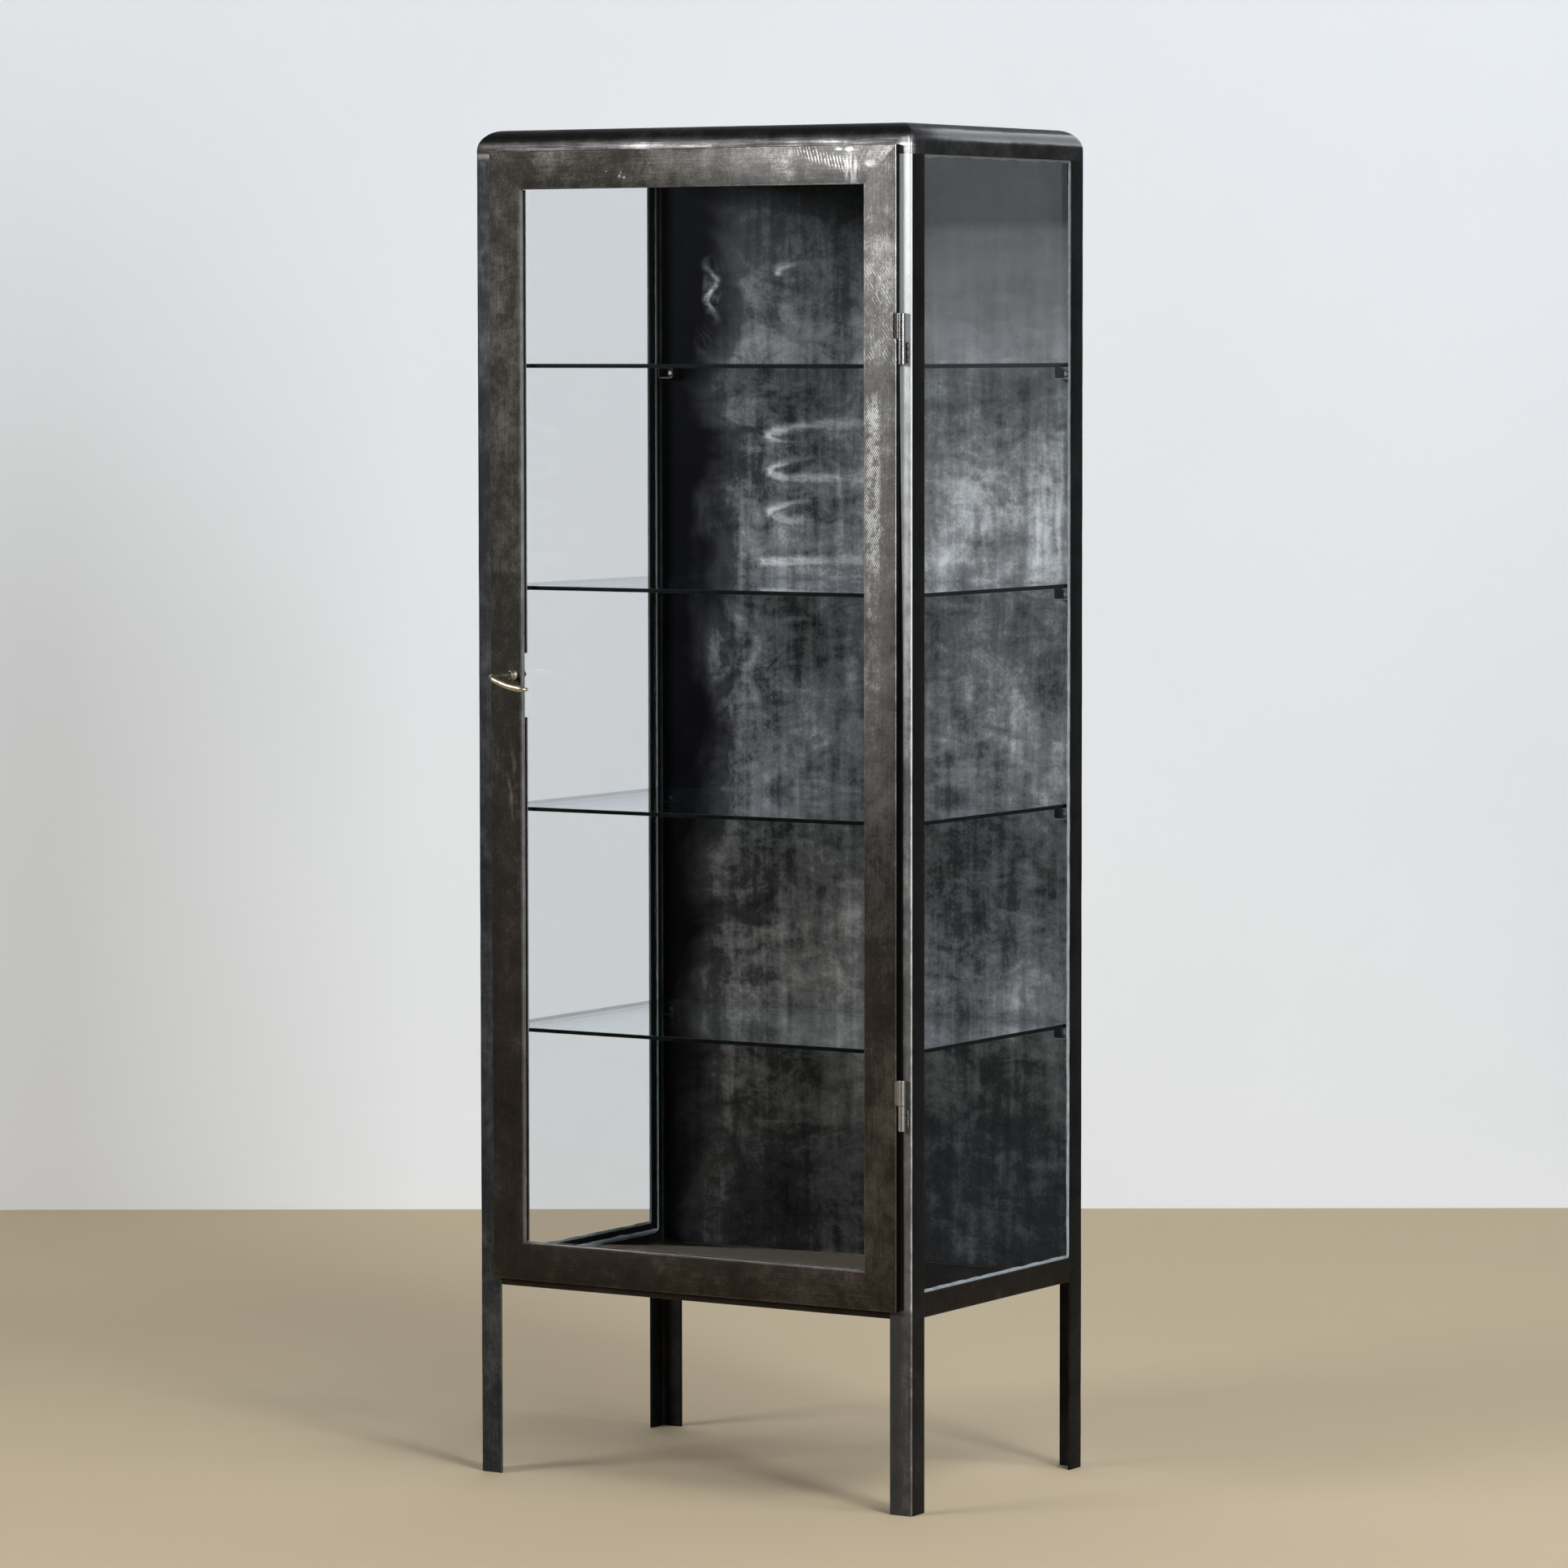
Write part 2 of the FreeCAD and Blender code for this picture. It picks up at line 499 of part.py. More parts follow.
n_up = V(math.sin(drop), 0, math.cos(drop))
for i, p in enumerate(path):
    a, b = path[max(0, i - 1)], path[min(len(path) - 1, i + 1)]
    tan = V(b[0] - a[0], b[1] - a[1], b[2] - a[2])
    if i == 0:
        tan = V(0, -1, 0)
    tan.normalize()
    e1 = n_up - tan * n_up.dot(tan)
    e1.normalize()
    e2 = tan.cross(e1)
    c = V(p[0], p[1], p[2])
    ring = []
    for k in range(12):
        th = 2 * math.pi * k / 12
        ring.append(c + e1 * (p[3] * math.cos(th)) + e2 * (p[4] * math.sin(th)))
    bs = Part.BSplineCurve()
    bs.interpolate(Points=ring, PeriodicFlag=True)
    wires.append(Part.Wire(bs.toShape()))
lever = Part.makeLoft(wires, True, False)
lever = lever.cut(cyl(spin_r + 0.02, (han_x, lev_y + 1.0, han_z), (0, -1, 0), 13.0))
put("lever_handle", lever)

# ---------------------------------------------------------------- write every node
for name in sorted(nodes):
    solids = []
    for s in nodes[name]:
        s = s.copy()
        s.translate(V(0, y_shift, 0))
        solids += s.Solids
    shape = solids[0] if len(solids) == 1 else Part.makeCompound(solids)
    assert shape.isValid(), name
    shape.exportStep("parts/%s.step" % name)
print("nodes", len(nodes), "y_shift", y_shift)
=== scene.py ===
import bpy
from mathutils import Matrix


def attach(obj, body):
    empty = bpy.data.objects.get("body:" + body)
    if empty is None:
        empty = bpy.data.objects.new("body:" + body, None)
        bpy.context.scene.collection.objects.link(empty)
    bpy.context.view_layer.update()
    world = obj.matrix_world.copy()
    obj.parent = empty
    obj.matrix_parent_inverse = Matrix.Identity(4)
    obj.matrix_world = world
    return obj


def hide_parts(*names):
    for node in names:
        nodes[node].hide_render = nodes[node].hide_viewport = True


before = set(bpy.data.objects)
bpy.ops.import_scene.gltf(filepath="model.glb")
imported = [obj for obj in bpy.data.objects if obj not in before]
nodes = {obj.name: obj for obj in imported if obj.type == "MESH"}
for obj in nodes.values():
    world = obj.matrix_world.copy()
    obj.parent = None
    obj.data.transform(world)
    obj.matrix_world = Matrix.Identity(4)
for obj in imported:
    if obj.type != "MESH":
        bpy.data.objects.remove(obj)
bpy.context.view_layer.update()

import math

import bmesh
import bpy
from mathutils import Matrix, Vector, noise

scene = bpy.context.scene

# ------------------------------------------------------------------------------------------------ measures
# millimetres in the drawing frame of the cabinet; P() turns them into metres in the shared frame
YS = 32.258
HW, HD = 307.0, 205.0
LEG, ANG, ROOT, TOE = 30.0, 3.0, 4.0, 1.6
CAP_Z, CAP_R, CAP_T, TOP = 1603.0, 24.0, 3.0, 1640.0
RAIL_Z = 233.0
DX0, DX1, DZ0, DZ1 = -282.0, 291.5, 242.5, 1614.0
STILE, RAIL = 44.0, 46.0
DYF, DYB = -215.0, -206.0
HIN_X, HIN_Y, HIN_R = 297.0, -210.5, 4.75
HIN_Z = (1386.5, 486.5)
LOW_LEN, UP_LEN = 29.0, 30.0
HAN_X, HAN_Z = -250.0, 981.5


def P(x, y, z):
    return Vector((x / 1000.0, (y + YS) / 1000.0, z / 1000.0))


def wob(a, b, c, s=0.0):
    return noise.noise(Vector((a + s, b + 1.7 * s, c - 0.6 * s)))


# ------------------------------------------------------------------------------------------------ node helper
class Nodes:
    """A material's node tree, with short calls for the maths of its masks."""

    def __init__(self, name):
        self.m = bpy.data.materials.new(name)
        self.m.use_nodes = True
        self.t = self.m.node_tree
        self.t.nodes.clear()
        self.out = self.t.nodes.new("ShaderNodeOutputMaterial")
        self.co = self.t.nodes.new("ShaderNodeTexCoord").outputs["Object"]
        s = self.t.nodes.new("ShaderNodeSeparateXYZ")
        self.t.links.new(self.co, s.inputs[0])
        self.x, self.y, self.z = s.outputs

    def feed(self, sock, v):
        if isinstance(v, bpy.types.NodeSocket):
            self.t.links.new(v, sock)
        else:
            if sock.type == "RGBA" and len(v) == 3:
                v = (*v, 1.0)
            sock.default_value = v

    def math(self, op, a, b=None, c=None, clamp=False):
        n = self.t.nodes.new("ShaderNodeMath")
        n.operation = op
        n.use_clamp = clamp
        for i, v in enumerate((a, b, c)):
            if v is not None:
                self.feed(n.inputs[i], v)
        return n.outputs[0]

    def add(self, *v):
        r = v[0]
        for k in v[1:]:
            r = self.math("ADD", r, k)
        return r

    def mul(self, *v):
        r = v[0]
        for k in v[1:]:
            r = self.math("MULTIPLY", r, k)
        return r

    def sub(self, a, b):
        return self.math("SUBTRACT", a, b)

    def mx(self, a, b):
        return self.math("MAXIMUM", a, b)

    def mn(self, a, b):
        return self.math("MINIMUM", a, b)

    def clamp(self, a):
        return self.math("ADD", a, 0.0, clamp=True)

    def rng(self, v, a, b, lo=0.0, hi=1.0):
        n = self.t.nodes.new("ShaderNodeMapRange")
        n.interpolation_type = "SMOOTHSTEP"
        n.clamp = True
        for i, k in enumerate((v, a, b, lo, hi)):
            self.feed(n.inputs[i], k)
        return n.outputs[0]

    def lin(self, v, a, b, lo=0.0, hi=1.0):
        n = self.t.nodes.new("ShaderNodeMapRange")
        n.clamp = True
        for i, k in enumerate((v, a, b, lo, hi)):
            self.feed(n.inputs[i], k)
        return n.outputs[0]

    def vec(self, stretch, seed=0.0, src=None):
        n = self.t.nodes.new("ShaderNodeVectorMath")
        n.operation = "MULTIPLY_ADD"
        self.t.links.new(src or self.co, n.inputs[0])
        n.inputs[1].default_value = stretch
        n.inputs[2].default_value = (seed * 3.1, seed * 7.7, seed * 1.3)
        return n.outputs[0]

    def noise(self, scale, stretch=(1, 1, 1), detail=4.0, rough=0.55, dist=0.0, seed=0.0, src=None):
        n = self.t.nodes.new("ShaderNodeTexNoise")
        n.noise_dimensions = "3D"
        self.t.links.new(self.vec(tuple(scale * s for s in stretch), seed, src), n.inputs["Vector"])
        n.inputs["Scale"].default_value = 1.0
        n.inputs["Detail"].default_value = detail
        n.inputs["Roughness"].default_value = rough
        n.inputs["Distortion"].default_value = dist
        return n.outputs["Fac"]

    def swing(self, f, k):
        """Noise about zero, scaled."""
        return self.math("MULTIPLY_ADD", f, 2.0 * k, -k)

    def cells(self, scale, stretch=(1, 1, 1), seed=0.0, feature="F1"):
        n = self.t.nodes.new("ShaderNodeTexVoronoi")
        n.feature = feature
        self.t.links.new(self.vec(tuple(scale * s for s in stretch), seed), n.inputs["Vector"])
        n.inputs["Scale"].default_value = 1.0
        return n.outputs["Distance"]

    def ramp(self, f, stops):
        n = self.t.nodes.new("ShaderNodeValToRGB")
        self.feed(n.inputs[0], f)
        e = n.color_ramp.elements
        while len(e) < len(stops):
            e.new(0.5)
        for k, (p, c) in zip(e, stops):
            k.position = p
            k.color = (*c, 1.0)
        return n.outputs["Color"]

    def mix(self, f, a, b, how="MIX"):
        n = self.t.nodes.new("ShaderNodeMix")
        n.data_type = "RGBA"
        n.blend_type = how
        self.feed(n.inputs["Factor"], f)
        self.feed(n.inputs[6], a)
        self.feed(n.inputs[7], b)
        return n.outputs[2]

    def lerp(self, f, a, b):
        n = self.t.nodes.new("ShaderNodeMix")
        n.data_type = "FLOAT"
        self.feed(n.inputs[0], f)
        self.feed(n.inputs[2], a)
        self.feed(n.inputs[3], b)
        return n.outputs[0]

    def bump(self, height, dist, strength=1.0, normal=None):
        n = self.t.nodes.new("ShaderNodeBump")
        n.inputs["Strength"].default_value = strength
        n.inputs["Distance"].default_value = dist
        self.feed(n.inputs["Height"], height)
        if normal is not None:
            self.feed(n.inputs["Normal"], normal)
        return n.outputs[0]

    def blob(self, x0, z0, rx, rz):
        """Soft spot on an upright face; millimetres."""
        a = self.math("MULTIPLY", self.sub(self.x, x0 / 1000.0), 1000.0 / rx)
        b = self.math("MULTIPLY", self.sub(self.z, z0 / 1000.0), 1000.0 / rz)
        r = self.add(self.mul(a, a), self.mul(b, b))
        return self.rng(r, 0.0, 1.6, 1.0, 0.0)

    def band(self, v, a, b, soft):
        """1 between a and b (metres), falling to 0 over soft."""
        return self.mul(self.rng(v, a - soft, a), self.rng(v, b, b + soft, 1.0, 0.0))

    def surface(self, color, rough, normal=None, metal=0.0, **extra):
        n = self.t.nodes.new("ShaderNodeBsdfPrincipled")
        self.feed(n.inputs["Base Color"], color)
        self.feed(n.inputs["Roughness"], rough)
        self.feed(n.inputs["Metallic"], metal)
        if normal is not None:
            self.feed(n.inputs["Normal"], normal)
        for k, v in extra.items():
            self.feed(n.inputs[k], v)
        self.t.links.new(n.outputs[0], self.out.inputs["Surface"])
        return n


# ------------------------------------------------------------------------------------------------ steel
BROWN = ((0.0, (0.006, 0.005, 0.0045)), (0.3, (0.028, 0.022, 0.017)), (0.6, (0.10, 0.088, 0.074)), (1.0, (0.40, 0.385, 0.36)))
UMBER = ((0.0, (0.006, 0.0054, 0.0048)), (0.3, (0.0275, 0.0255, 0.0215)), (0.6, (0.110, 0.106, 0.098)), (1.0, (0.52, 0.52, 0.51)))
GREY = ((0.0, (0.005, 0.0052, 0.006)), (0.3, (0.026, 0.0255, 0.026)), (0.6, (0.115, 0.1145, 0.113)), (1.0, (0.60, 0.605, 0.605)))
LIGHT = ((0.0, (0.005, 0.0048, 0.005)), (0.3, (0.027, 0.0258, 0.0255)), (0.6, (0.13, 0.13, 0.13)), (1.0, (0.84, 0.87, 0.88)))
BLUE = ((0.0, (0.005, 0.006, 0.0075)), (0.3, (0.025, 0.0275, 0.031)), (0.6, (0.10, 0.105, 0.110)), (1.0, (0.40, 0.41, 0.42)))
BRUSH = {"x": (26.0, 620.0, 620.0), "y": (620.0, 26.0, 620.0), "z": (620.0, 620.0, 26.0)}
SCORE = {"x": (60.0, 2100.0, 2100.0), "y": (2100.0, 60.0, 2100.0), "z": (2100.0, 2100.0, 60.0)}


def grain(g, table, brush, detail, seed):
    """Noise drawn out along the brushing; brush is an axis, or a mask that turns it from X to Z."""
    if isinstance(brush, str):
        return g.noise(1.0, table[brush], detail=detail, rough=0.6, seed=seed)
    return g.lerp(brush, g.noise(1.0, table["x"], detail=detail, rough=0.6, seed=seed),
                  g.noise(1.0, table["z"], detail=detail, rough=0.6, seed=seed + 0.5))


def steel(name, tone, brush="z", colours=BROWN, big=0.22, mot=0.26, med=0.14, streak=0.10, score=0.08, r0=0.34, r1=0.62,
          metal=0.9, marks=None, seed=0.0, wave=0.0006, speck=0.06, **extra):
    """Bare steel under a dark waxed patina: cloudy tone, streaks along the grain, fine scores, and what marks() adds."""
    g = Nodes(name)
    if callable(brush):
        brush = brush(g)
    f_big = g.noise(6.0, detail=5.0, rough=0.6, dist=0.4, seed=seed + 1.0)
    f_mot = g.noise(19.0, detail=6.0, rough=0.66, dist=0.7, seed=seed + 8.0)
    f_med = g.noise(64.0, detail=5.0, rough=0.62, seed=seed + 2.0)
    f_str = grain(g, BRUSH, brush, 3.0, seed + 3.0)
    f_sco = grain(g, SCORE, brush, 2.0, seed + 4.0)
    f_spk = g.noise(700.0, detail=2.0, seed=seed + 5.0)
    base = tone(g) if callable(tone) else tone
    t = g.add(g.swing(f_big, big), g.swing(f_mot, mot), g.swing(f_med, med), g.swing(f_str, streak), g.swing(f_sco, score),
              g.swing(f_spk, 0.05), g.swing(g.noise(330.0, detail=3.0, rough=0.7, seed=seed + 9.0), speck), base)
    high = None
    if marks:
        add, high = marks(g)
        t = g.add(t, add)
    t = g.clamp(t)
    col = colours(g, t) if callable(colours) else g.ramp(t, colours)
    rough = g.add(g.lerp(t, r1, r0), g.swing(f_sco, 0.10), g.swing(f_med, 0.07))
    n = g.bump(g.noise(7.0, detail=1.0, seed=seed + 6.0), wave * 5.0, 0.5)
    n = g.bump(g.noise(45.0, detail=1.0, seed=seed + 7.0), wave * 0.5, 0.5, n)
    n = g.bump(f_str, 0.00004, 0.5, n)
    n = g.bump(g.add(f_sco, g.mul(f_spk, 0.6)), 0.00003, 0.6, n)
    if high is not None:
        n = g.bump(high, 0.00006, 0.5, n)
    g.surface(col, rough, n, metal(g) if callable(metal) else metal, **extra)
    return g.m


def edge_lines(g, pairs, width=0.0022, soft=0.0012, seed=9.0):
    """Worn bright lines near straight edges: pairs of (socket, metres)."""
    near = None
    for sock, at in pairs:
        d = g.math("ABSOLUTE", g.sub(sock, at))
        near = d if near is None else g.mn(near, d)
    return worn(g, near, width, soft, seed)


def worn(g, near, width, soft, seed):
    """Broken line where a distance is small."""
    broken = g.noise(60.0, detail=4.0, rough=0.65, seed=seed)
    w = g.math("MULTIPLY_ADD", broken, width * 2.0, -0.35 * width)
    return g.rng(near, w, g.math("ADD", w, soft), 1.0, 0.0)


def scratches(g, angle, seed, scale=(24.0, 1500.0), at=(0.74, 0.86)):
    """Sparse straight scratches at an angle from X on an upright face."""
    ca, sa = math.cos(angle), math.sin(angle)
    n = g.t.nodes.new("ShaderNodeCombineXYZ")
    g.feed(n.inputs[0], g.add(g.mul(g.x, ca), g.mul(g.z, sa)))
    g.feed(n.inputs[1], g.y)
    g.feed(n.inputs[2], g.add(g.mul(g.x, -sa), g.mul(g.z, ca)))
    return g.rng(g.noise(1.0, (scale[0], 30.0, scale[1]), detail=0.0, seed=seed, src=n.outputs[0]), *at)


YF = (-HD + YS) / 1000.0
YB = (HD + YS) / 1000.0


def tone_post_left(g):
    front = g.rng(g.y, YF + 0.0008, YF + 0.0028, 1.0, 0.0)
    patch = g.rng(g.noise(16.0, (1, 1, 0.5), detail=5.0, rough=0.65, seed=31.0), 0.55, 0.72)
    return g.add(g.mul(front, 0.15), g.mul(patch, 0.20), 0.17)


def marks_post_left(g):
    e = edge_lines(g, [(g.x, -0.307), (g.x, -0.277)], 0.0012)
    return g.mul(e, 0.22), None


def tone_post_right(g):
    # painted light on the front flange: lighter towards the top as a painted highlight, darker on the leg below the
    # rail; across it, lighter beside the door to offset the door's cast shadow and darker towards the corner
    front = g.rng(g.y, YF + 0.0008, YF + 0.0026, 1.0, 0.0)
    painted_height_light = g.add(g.rng(g.z, 0.78, 1.22, 0.44, 0.77), g.rng(g.z, 0.238, 0.250, -0.38, 0.0), g.rng(g.z, 0.45, 0.75, -0.04, 0.0), g.rng(g.z, 1.25, 1.58, 0.0, 0.22))
    even = g.rng(g.x, 0.2925, 0.3035, 0.10, -0.14)
    foot = g.mul(g.rng(g.z, 0.238, 0.250, 1.0, 0.0), g.rng(g.x, 0.286, 0.302, -0.09, 0.12))
    t = g.add(g.mul(front, g.add(painted_height_light, foot, g.mul(even, g.rng(g.z, 0.8, 1.2, 0.4, 1.0)))), g.rng(g.z, 0.20, 0.28, 0.08, 0.0), 0.155)
    # painted shade on the flange in the gap beside the door, a dark strip that narrows upwards
    lim = g.add(g.rng(g.z, 0.30, 0.60, 0.2955, 0.2942), g.rng(g.z, 0.95, 1.40, 0.0, -0.0045))
    gap_shade = g.mul(front, g.rng(g.x, lim, g.add(lim, 0.0016), 1.0, 0.0), g.rng(g.z, 0.242, 0.247))
    return g.lerp(gap_shade, t, -0.12)


def marks_post_right(g):
    e = edge_lines(g, [(g.x, 0.307)], 0.0013)
    front = g.rng(g.y, YF + 0.0008, YF + 0.0030, 1.0, 0.0)
    toe = edge_lines(g, [(g.y, YF + 0.030)], 0.0012, seed=12.0)
    return g.add(g.mul(e, front, g.rng(g.z, 0.3, 1.3, 0.30, 0.50)), g.mul(toe, 0.14)), None


def tone_cap(g):
    front = g.rng(g.y, YF + 0.004, YF + 0.020, 1.0, 0.0)
    side = g.rng(g.x, 0.287, 0.303)
    right = g.rng(g.x, -0.20, 0.28)
    drawn = g.noise(1.0, (10.0, 10.0, 240.0), detail=5.0, rough=0.66, seed=35.0)
    # painted highlight: a light band on the lower part of the front rounding, broken by drawn streaks
    low = g.rng(g.z, 1.6300, 1.6200, 0.0, 1.0)
    a = g.mul(front, low, g.add(g.mul(right, 0.01), g.swing(drawn, 0.50), 0.215))
    # painted highlight: a light band along the side rounding, broken by drawn streaks
    streak = g.band(g.z, 1.6240, 1.6315, 0.0065)
    b = g.mul(side, g.sub(1.0, front), streak, g.rng(g.y, YF + 0.02, YF + 0.10, 0.25, 1.0), g.add(g.swing(drawn, 0.90), 0.74))
    return g.add(a, b, g.mul(side, g.sub(1.0, front), 0.12), g.mul(front, 0.06), g.rng(g.z, 1.6375, 1.6395, 0.0, 0.10), 0.225)


def cap_corner_highlight(g):
    # painted highlight: a bright spot at the cap's front-right corner
    corner = g.mul(g.mx(g.blob(305.5, 1614.0, 7.0, 16.0), g.mul(g.blob(299.0, 1608.0, 13.0, 16.0), 0.85)), g.rng(g.y, YF + 0.012, YF + 0.0))
    return g.mul(corner, 0.40), None


def hatch(g, angle, pitch, seed, wobble=0.0016, at=(0.45, 0.62)):
    """Fine parallel scratches at an angle from X, in the XZ plane."""
    w = g.noise(30.0, detail=3.0, seed=seed)
    u = g.add(g.mul(g.x, -math.sin(angle)), g.mul(g.z, math.cos(angle)), g.swing(w, wobble))
    s = g.math("SINE", g.mul(u, 2.0 * math.pi / pitch))
    keep = g.rng(g.noise(90.0, detail=4.0, rough=0.7, seed=seed + 1.0), *at)
    return g.mul(g.rng(s, 0.1, 0.95), keep)


def box_edge(g, x0, x1, z0, z1):
    """How far a point lies outside a rectangle's nearest sides in XZ (metres): for X, for Z."""
    a = g.sub(g.math("ABSOLUTE", g.sub(g.x, (x0 + x1) / 2000.0)), (x1 - x0) / 2000.0)
    b = g.sub(g.math("ABSOLUTE", g.sub(g.z, (z0 + z1) / 2000.0)), (z1 - z0) / 2000.0)
    return a, b


def upright(g):
    """1 on the stiles, 0 on the rails, with a ragged change along the mitres."""
    a, b = box_edge(g, DX0, DX1, DZ0, DZ1)
    return g.rng(g.add(g.sub(b, a), g.swing(g.noise(34.0, detail=4.0, seed=38.0), 0.030)), -0.012, 0.012, 1.0, 0.0)


def tone_door(g):
    # lighter towards the right and higher up: partly the steel's own tone, partly painted highlight
    right, high = g.rng(g.x, -0.13, 0.27), g.rng(g.z, 0.60, 1.22)
    patch = g.rng(g.noise(9.0, (1, 1, 0.5), detail=5.0, rough=0.65, seed=41.0), 0.50, 0.75)
    return g.add(g.mul(high, 0.06), g.mul(right, g.math("MULTIPLY_ADD", high, 0.205, 0.08)), g.mul(patch, 0.15), 0.24)


def marks_door(g):
    right, high = g.rng(g.x, 0.10, 0.24), g.rng(g.z, 0.60, 1.22)
    inside = g.rng(g.y, (DYF + YS + 0.9) / 1000.0, (DYF + YS + 1.8) / 1000.0)
    face = g.sub(1.0, inside)
    # left stile: fine slanting hatch above the lever, rubbed glow under it
    h = g.mul(hatch(g, math.radians(38), 0.0021, 44.0), g.band(g.z, 1.10, 1.42, 0.06), g.rng(g.x, -0.236, -0.240))
    glow = g.mul(g.blob(-252.0, 850.0, 9.0, 45.0), g.rng(g.noise(120.0, (1, 1, 0.3), seed=47.0), 0.45, 0.65))
    # top rail: a row of short upright chatter marks and a brushed patch near the right corner, chips
    w = g.noise(40.0, detail=3.0, seed=52.0)
    s = g.math("SINE", g.mul(g.add(g.x, g.mul(g.z, 0.28), g.swing(w, 0.0014)), 2.0 * math.pi / 0.0043))
    fall = g.add(g.z, g.mul(g.sub(g.x, 0.17), 0.30), -1.6065)
    arcs = g.mul(g.rng(s, -0.1, 0.9), g.rng(g.math("ABSOLUTE", fall), 0.012, 0.004, 0.0, 1.0), g.band(g.x, 0.165, 0.222, 0.015),
                 g.rng(g.noise(110.0, detail=4.0, rough=0.7, seed=53.0), 0.36, 0.56))
    rays = g.noise(1.0, (330.0, 30.0, 26.0), detail=3.0, rough=0.6, seed=54.0)
    arcs = g.mx(arcs, g.mul(g.blob(231.0, 1583.0, 11.0, 19.0), g.rng(rays, 0.36, 0.66)))
    arcs = g.mx(arcs, g.mul(g.add(g.blob(214.0, 1609.5, 5.0, 2.4), g.blob(228.0, 1609.0, 6.0, 2.6), g.blob(257.0, 1592.0, 9.0, 5.0)), 0.55))
    chips = g.add(g.blob(-93.0, 1582.0, 2.6, 2.4), g.blob(-86.5, 1580.5, 2.2, 2.0), g.blob(-112.0, 1588.0, 1.2, 1.0),
                  g.blob(-91.0, 1586.5, 1.0, 1.8))
    # right stile: short slanting grinder marks, thinning downwards
    k = g.mul(g.math("MULTIPLY_ADD", hatch(g, math.radians(58), 0.0024, 61.0, 0.0009, (0.41, 0.58)), 0.97, 0.03), g.rng(g.math("ABSOLUTE", g.sub(g.x, 0.2600)), 0.013, 0.006, 0.0, 1.0),
              g.add(g.band(g.z, 1.14, 1.305, 0.03), g.mul(g.band(g.z, 0.93, 1.14, 0.10), 0.45)))
    k2 = g.mul(hatch(g, math.radians(-58), 0.0036, 64.0, 0.0010), g.band(g.z, 1.36, 1.46, 0.04), g.rng(g.x, 0.247, 0.250))
    cuts = g.mul(g.mx(scratches(g, math.radians(64), 67.0), scratches(g, math.radians(25), 68.0)), face)
    # edges: rubbed lines outside and inside, painted highlight on the inner returns at the left and below, painted
    # shade on the outer sides
    ao, bo = box_edge(g, DX0, DX1, DZ0, DZ1)
    ai, bi = box_edge(g, DX0 + STILE, DX1 - STILE, DZ0 + RAIL, DZ1 - RAIL)
    qo, qi = g.mx(ao, bo), g.mx(ai, bi)
    rub = g.mul(g.mx(worn(g, g.math("ABSOLUTE", qo), 0.0010, 0.0010, 48.0), worn(g, g.math("ABSOLUTE", qi), 0.0012, 0.0010, 49.0)), face)
    return_highlight = g.mul(g.rng(qi, 0.0012, 0.0004, 0.0, 1.0), inside, g.mx(g.rng(g.x, -0.234, -0.237), g.rng(g.z, 0.293, 0.290)))
    out = g.mul(g.rng(qo, -0.0012, -0.0004), inside)
    g.pale = return_highlight
    t = g.add(g.mul(h, 0.13), g.mul(glow, 0.22), g.mul(arcs, 0.26), g.mul(chips, 0.32), g.mul(k, g.math("MULTIPLY_ADD", high, 0.40, 0.14)),
              g.mul(k2, 0.16), g.mul(cuts, g.math("MULTIPLY_ADD", high, 0.055, 0.035)), g.mul(rub, 0.20), g.mul(return_highlight, 0.50), g.mul(out, -0.50))
    return t, g.add(h, arcs, k, k2)


def colour_door(g, t):
    light = g.mix(g.rng(g.x, -0.10, 0.20), g.ramp(t, UMBER), g.ramp(t, GREY))
    return g.mix(g.rng(g.z, 0.98, 0.50), light, g.ramp(t, BROWN))


def marks_rails(g):
    e = edge_lines(g, [(g.z, RAIL_Z / 1000), (g.z, (RAIL_Z + LEG) / 1000)], 0.0011, seed=75.0)
    return g.mul(e, 0.20), None


M = {}
M["post_left"] = steel("post_steel_left", tone_post_left, "z", BLUE, marks=marks_post_left, seed=1.0)
M["post_right"] = steel("post_steel_right", tone_post_right, "z", LIGHT, big=0.14, mot=0.20, r0=0.46, metal=lambda g: g.rng(g.y, YF + 0.0008, YF + 0.0026, 0.30, 0.9),
                        marks=marks_post_right, seed=2.0)
M["post_rear"] = steel("post_steel_rear", 0.15, "z", GREY, marks=None, seed=3.0)
M["rails"] = steel("rail_steel", 0.20, "x", BROWN, marks=marks_rails, seed=4.0)
M["rails_y"] = steel("rail_steel_sides", 0.19, "y", BROWN, marks=marks_rails, seed=5.0)
M["cap"] = steel("cap_steel", tone_cap, "x", GREY, big=0.16, marks=cap_corner_highlight, seed=6.0)
M["door"] = steel("door_steel", tone_door, upright, colour_door, big=0.17, mot=0.22, speck=0.14, metal=lambda g: g.math("MULTIPLY_ADD", g.pale, -0.75, 0.9), marks=marks_door, seed=7.0)
bead_x = max(v.co.x for v in nodes["bead_left_upper"].data.vertices)


def bead_lip_highlight(g):
    """The left beads' edges toward the window are painted pale, a painted highlight."""
    return g.mul(g.rng(g.x, bead_x - 0.0014, bead_x - 0.0004), g.rng(g.x, bead_x + 0.0008, bead_x + 0.0002))


M["bead"] = steel("bead_steel", lambda g: g.math("MULTIPLY_ADD", bead_lip_highlight(g), 0.66, 0.14), "z", GREY,
                  metal=lambda g: g.math("MULTIPLY_ADD", bead_lip_highlight(g), -0.70, 0.9), seed=11.0)
M["floor_panel"] = steel("floor_sheet", 0.08, "x", BROWN, streak=0.08, r0=0.40, r1=0.58, metal=0.0, seed=12.0, **{"Specular IOR Level": 0.12})


